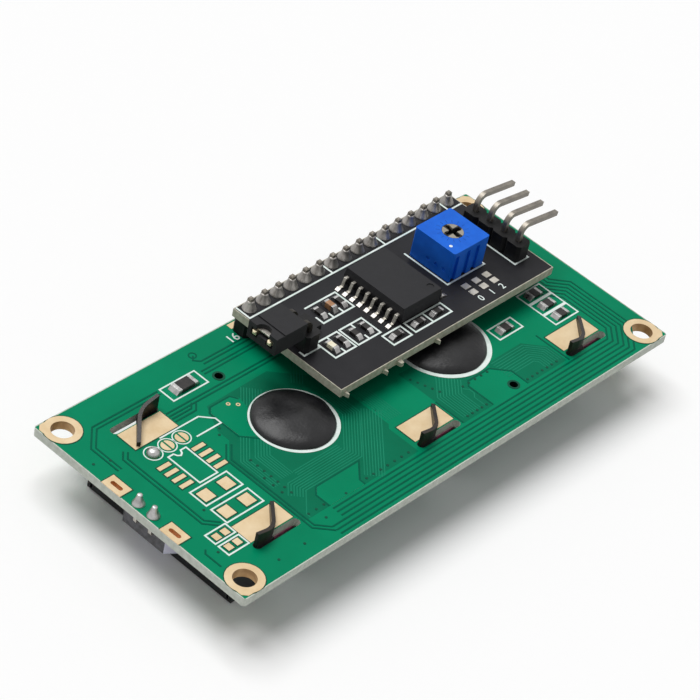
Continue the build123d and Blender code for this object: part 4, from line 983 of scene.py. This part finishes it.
# White ink on the adapter
adapterInk = {
    "level": 4.9,
    "thick": 0.025,
    "line": 0.26,
    "runs": [
        [(-7.4, 16.6), (-7.4, 14.1), (33.5, 14.1)],
        [(8.0, 14.1), (8.0, 16.2)], [(18.2, 14.1), (18.2, 16.2)], [(30.9, 14.1), (30.9, 16.2)],
        [(18.9, 11.4), (18.9, 3.7), (26.3, 3.7), (26.3, 4.2)],
        [(29.7, 6.8), (29.7, 1.2), (32.4, 1.2), (32.4, 1.7)],
        [(-6.9, 5.9), (-6.9, 5.0), (-4.1, 5.0), (-4.1, 5.9)],
        [(-0.3, 11.3), (5.4, 11.3), (5.4, 7.9), (-0.3, 7.9), (-0.3, 9.3)],
        [(1.65, 7.9), (1.65, 8.9)], [(3.5, 7.9), (3.5, 8.9)],
    ],
    "boxes": [
        (-3.9, 2.4, -0.1, 5.8), (0.35, 2.4, 4.5, 5.8), (4.1, -0.3, 7.5, 1.75),
        (8.3, -0.25, 11.75, 1.8), (11.75, -0.25, 15.3, 1.8),
    ],
    "rungs": [
        [(-2.0, 2.4), (-2.0, 3.3)], [(-2.0, 4.9), (-2.0, 5.8)],
        [(2.4, 2.4), (2.4, 3.3)], [(2.4, 4.9), (2.4, 5.8)],
    ],
    "digits": [("0", 20.25), ("1", 22.45), ("2", 24.45)],
    "digitsY": -1.2,
    "digitsHeight": 1.05,
}


def drawAdapterInk(s):
    mesh = bmesh.new()
    runs = [boxRun(*box) for box in s["boxes"]] + s["runs"] + s["rungs"]
    addRuns(mesh, runs, s["line"], s["level"], s["thick"])
    for digit, x in s["digits"]:
        addDigits(mesh, digit, x, s["digitsY"], s["digitsHeight"], s["level"], s["thick"])
    keepPiece("adapterInk", mesh, "whiteInk", "module")
    print("adapter ink drawn")


drawAdapterInk(adapterInk)

# Front of the display board: an outline round the bezel's foot, a dashed row and some traces
frontInk = {
    "level": -0.025,
    "thick": 0.025,
    "line": 0.22,
    "outline": (-36.1, -13.35, 36.1, 12.45),
    "dashes": (-7.5, 13.55, 33.0, 1.27, 0.7),  # x, y, end, pitch, length
    "traces": [
        [(-38.9, -12.4), (-37.4, -10.9), (-37.4, 8.5), (-38.6, 9.7)],
        [(-38.3, -12.2), (-36.9, -10.8), (-36.9, 8.3)],
    ],
    "nearLines": ([(10.0, -15.6), (30.0, -15.6), (31.5, -14.1)], 4, 0.5),
    "traceWide": 0.2,
}


def drawFront(s):
    mesh = bmesh.new()
    addRun(mesh, boxRun(*s["outline"]), s["line"], s["level"], s["thick"])
    x, y, end, pitch, dash = s["dashes"]
    while x < end:
        addRun(mesh, [(x, y), (x + dash, y)], s["line"], s["level"], s["thick"])
        x += pitch
    keepPiece("frontInk", mesh, "whiteInk", "module")
    mesh = bmesh.new()
    runs = s["traces"] + sideBySide(*s["nearLines"])
    addRuns(mesh, runs, s["traceWide"], s["level"] / 2, s["thick"] / 2)
    keepPiece("frontTraces", mesh, "darkTrace", "module")
    print("front drawn")


drawFront(frontInk)


# A turned shape about an upright axis: its profile is spun and both poles are closed
def addTurned(mesh, x, y, level, profile, steps, way=1):
    verts = [mesh.verts.new(((x + r) * mm, y * mm, (level + way * z) * mm)) for r, z in profile]
    edges = [mesh.edges.new(pair) for pair in zip(verts, verts[1:])]
    spinRound(mesh, verts + edges, (x * mm, y * mm, level * mm), steps)


# All joints have one shape: a low foot, a hollow flank drawn up the pin, and a flat tip
joint = {
    "footShare": 0.99,
    "footRise": 0.05,
    "sweep": 0.91,
    "hollow": 1.5,
    "rings": 8,
    "tipShare": 0.8,
    "steps": 20,
    "uneven": 0.035,  # mm
    "unevenScale": 900.0,
    "unevenFrom": (3.1, 0, 0),
}


def jointProfile(foot, tip, height, s):
    profile = [(0, 0), (foot, 0), (foot * s["footShare"], s["footRise"] * height)]
    for i in range(1, s["rings"] + 1):
        u = i / s["rings"]
        out = tip + (foot - tip) * (1 - u) ** s["hollow"]
        profile.append((out, height * (s["footRise"] + s["sweep"] * u)))
    return profile + [(tip * s["tipShare"], height), (0, height)]


pinPitch = 2.54
longRow = [(-6.1 + pinPitch * i, 15.5) for i in range(16)]
shortRow = [(31.2, pinPitch + pinPitch * i) for i in range(4)]
solderJoints = {
    "adapter_solder": {
        "finish": "dullSolder", "foot": 1.0, "tip": 0.5, "height": 1.33,
        "level": 4.9, "way": 1, "places": longRow,
    },
    "display_solder": {
        "finish": "dullSolder", "foot": 1.0, "tip": 0.5, "height": 0.98,
        "level": 0.0, "way": -1, "places": longRow,
    },
    "backlight_solder": {
        "finish": "solderMetal", "foot": 0.86, "tip": 0.34, "height": 1.48,
        "level": 1.2, "way": 1, "places": [(-38.9, -1.67), (-38.9, 0.87)],
    },
    "io_header_solder": {
        "finish": "dullSolder", "foot": 0.9, "tip": 0.48, "height": 0.68,
        "level": 3.7, "way": -1, "places": shortRow,
    },
    "jumper_solder": {
        "finish": "dullSolder", "foot": 0.9, "tip": 0.48, "height": 0.68,
        "level": 3.7, "way": -1, "places": [(-5.35, 6.35), (-5.35, 8.89)],
    },
    "trimmer_solder": {
        "finish": "dullSolder", "foot": 0.9, "tip": 0.36, "height": 0.68,
        "level": 3.7, "way": -1, "places": [(20.21, 8.67), (22.75, 6.13), (25.29, 8.67)],
    },
}


def pourSolder(joints, shape):
    for name, s in joints.items():
        mesh = bmesh.new()
        profile = jointProfile(s["foot"], s["tip"], s["height"], shape)
        for x, y in s["places"]:
            addTurned(mesh, x, y, s["level"], profile, shape["steps"], s["way"])
        weldPoints(mesh)
        for v in mesh.verts:
            place = v.co * shape["unevenScale"] + Vector(shape["unevenFrom"])
            v.co += noise.noise_vector(place) * shape["uneven"] * mm
        pieceName = name.replace("_solder", "Joints")
        piece = keepPiece(pieceName, mesh, s["finish"], "module", smooth=True)
        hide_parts(name)
    print("solder poured:", len(joints), "groups")


pourSolder(solderJoints, joint)

# Resin domes over the two driver chips, and the drop of solder on the bridged pad
domes = {
    "left_driver_blob": {
        "x": -13.2, "y": 0.05, "level": 1.2, "radius": 5.45, "height": 1.28,
        "finish": "resin", "slot": "resin", "uneven": 0.16,
    },
    "right_driver_blob": {
        "x": 13.2, "y": -1.1, "level": 1.2, "radius": 6.15, "height": 1.28,
        "finish": "resin", "slot": "resin", "uneven": 0.12,
    },
    "bridge_solder": {
        "x": -31.5, "y": 6.0, "level": 1.25, "radius": 0.86, "height": 0.68,
        "finish": "solderMetal", "slot": "solder", "uneven": 0.03,
    },
}
dome = {
    "rings": 16,
    "broad": 0.8,
    "full": 0.9,
    "steps": 72,
    "stillRim": 0.02,  # mm at the foot that stays even
    "unevenScale": 380.0,
}


def pourDomes(group, shape):
    for name, s in group.items():
        profile = [(0, 0)]
        for i in range(shape["rings"] + 1):
            a = math.pi / 2 * i / shape["rings"]
            out = s["radius"] * math.cos(a) ** shape["broad"]
            profile.append((out, s["height"] * math.sin(a) ** shape["full"]))
        mesh = bmesh.new()
        addTurned(mesh, s["x"], s["y"], s["level"], profile, shape["steps"])
        weldPoints(mesh)
        for v in mesh.verts:
            if v.co.z > (s["level"] + shape["stillRim"]) * mm:
                v.co += noise.noise_vector(v.co * shape["unevenScale"]) * s["uneven"] * mm
        pieceName = name.replace("_", "") + "Dome"
        piece = keepPiece(pieceName, mesh, s["finish"], "module", smooth=True)
        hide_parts(name)
    print("domes poured")


pourDomes(domes, dome)

# Trimmer's top: a white dot, painted as the highlight on a moulded mark, and fine dark marks
# round the rotor
trimmerMarks = {
    "x": 22.75,
    "y": 7.4,
    "level": 9.6,
    "dot": (20.15, 5.45, 0.24),  # x, y, radius
    "dotSunk": 0.005,
    "dotThick": 0.012,
    "dotSides": 20,
    "count": 16,
    "inner": 1.75,
    "outer": 2.3,
    "width": 0.09,
    "markSunk": 0.004,
    "markThick": 0.01,
}


def markTrimmer(s):
    mesh = bmesh.new()
    # The dot's white is a painted highlight on the moulded mark
    addDot(mesh, *s["dot"], s["level"] - s["dotSunk"], s["dotThick"], s["dotSides"])
    keepPiece("trimmerDotHighlight", mesh, "whiteInk", "module")
    mesh = bmesh.new()
    for i in range(s["count"]):
        a = 2 * math.pi * i / s["count"]
        near = (s["x"] + s["inner"] * math.cos(a), s["y"] + s["inner"] * math.sin(a))
        far = (s["x"] + s["outer"] * math.cos(a), s["y"] + s["outer"] * math.sin(a))
        addRun(mesh, [near, far], s["width"], s["level"] - s["markSunk"], s["markThick"])
    keepPiece("trimmerMarks", mesh, "blueShade", "module")
    print("trimmer marked")


markTrimmer(trimmerMarks)
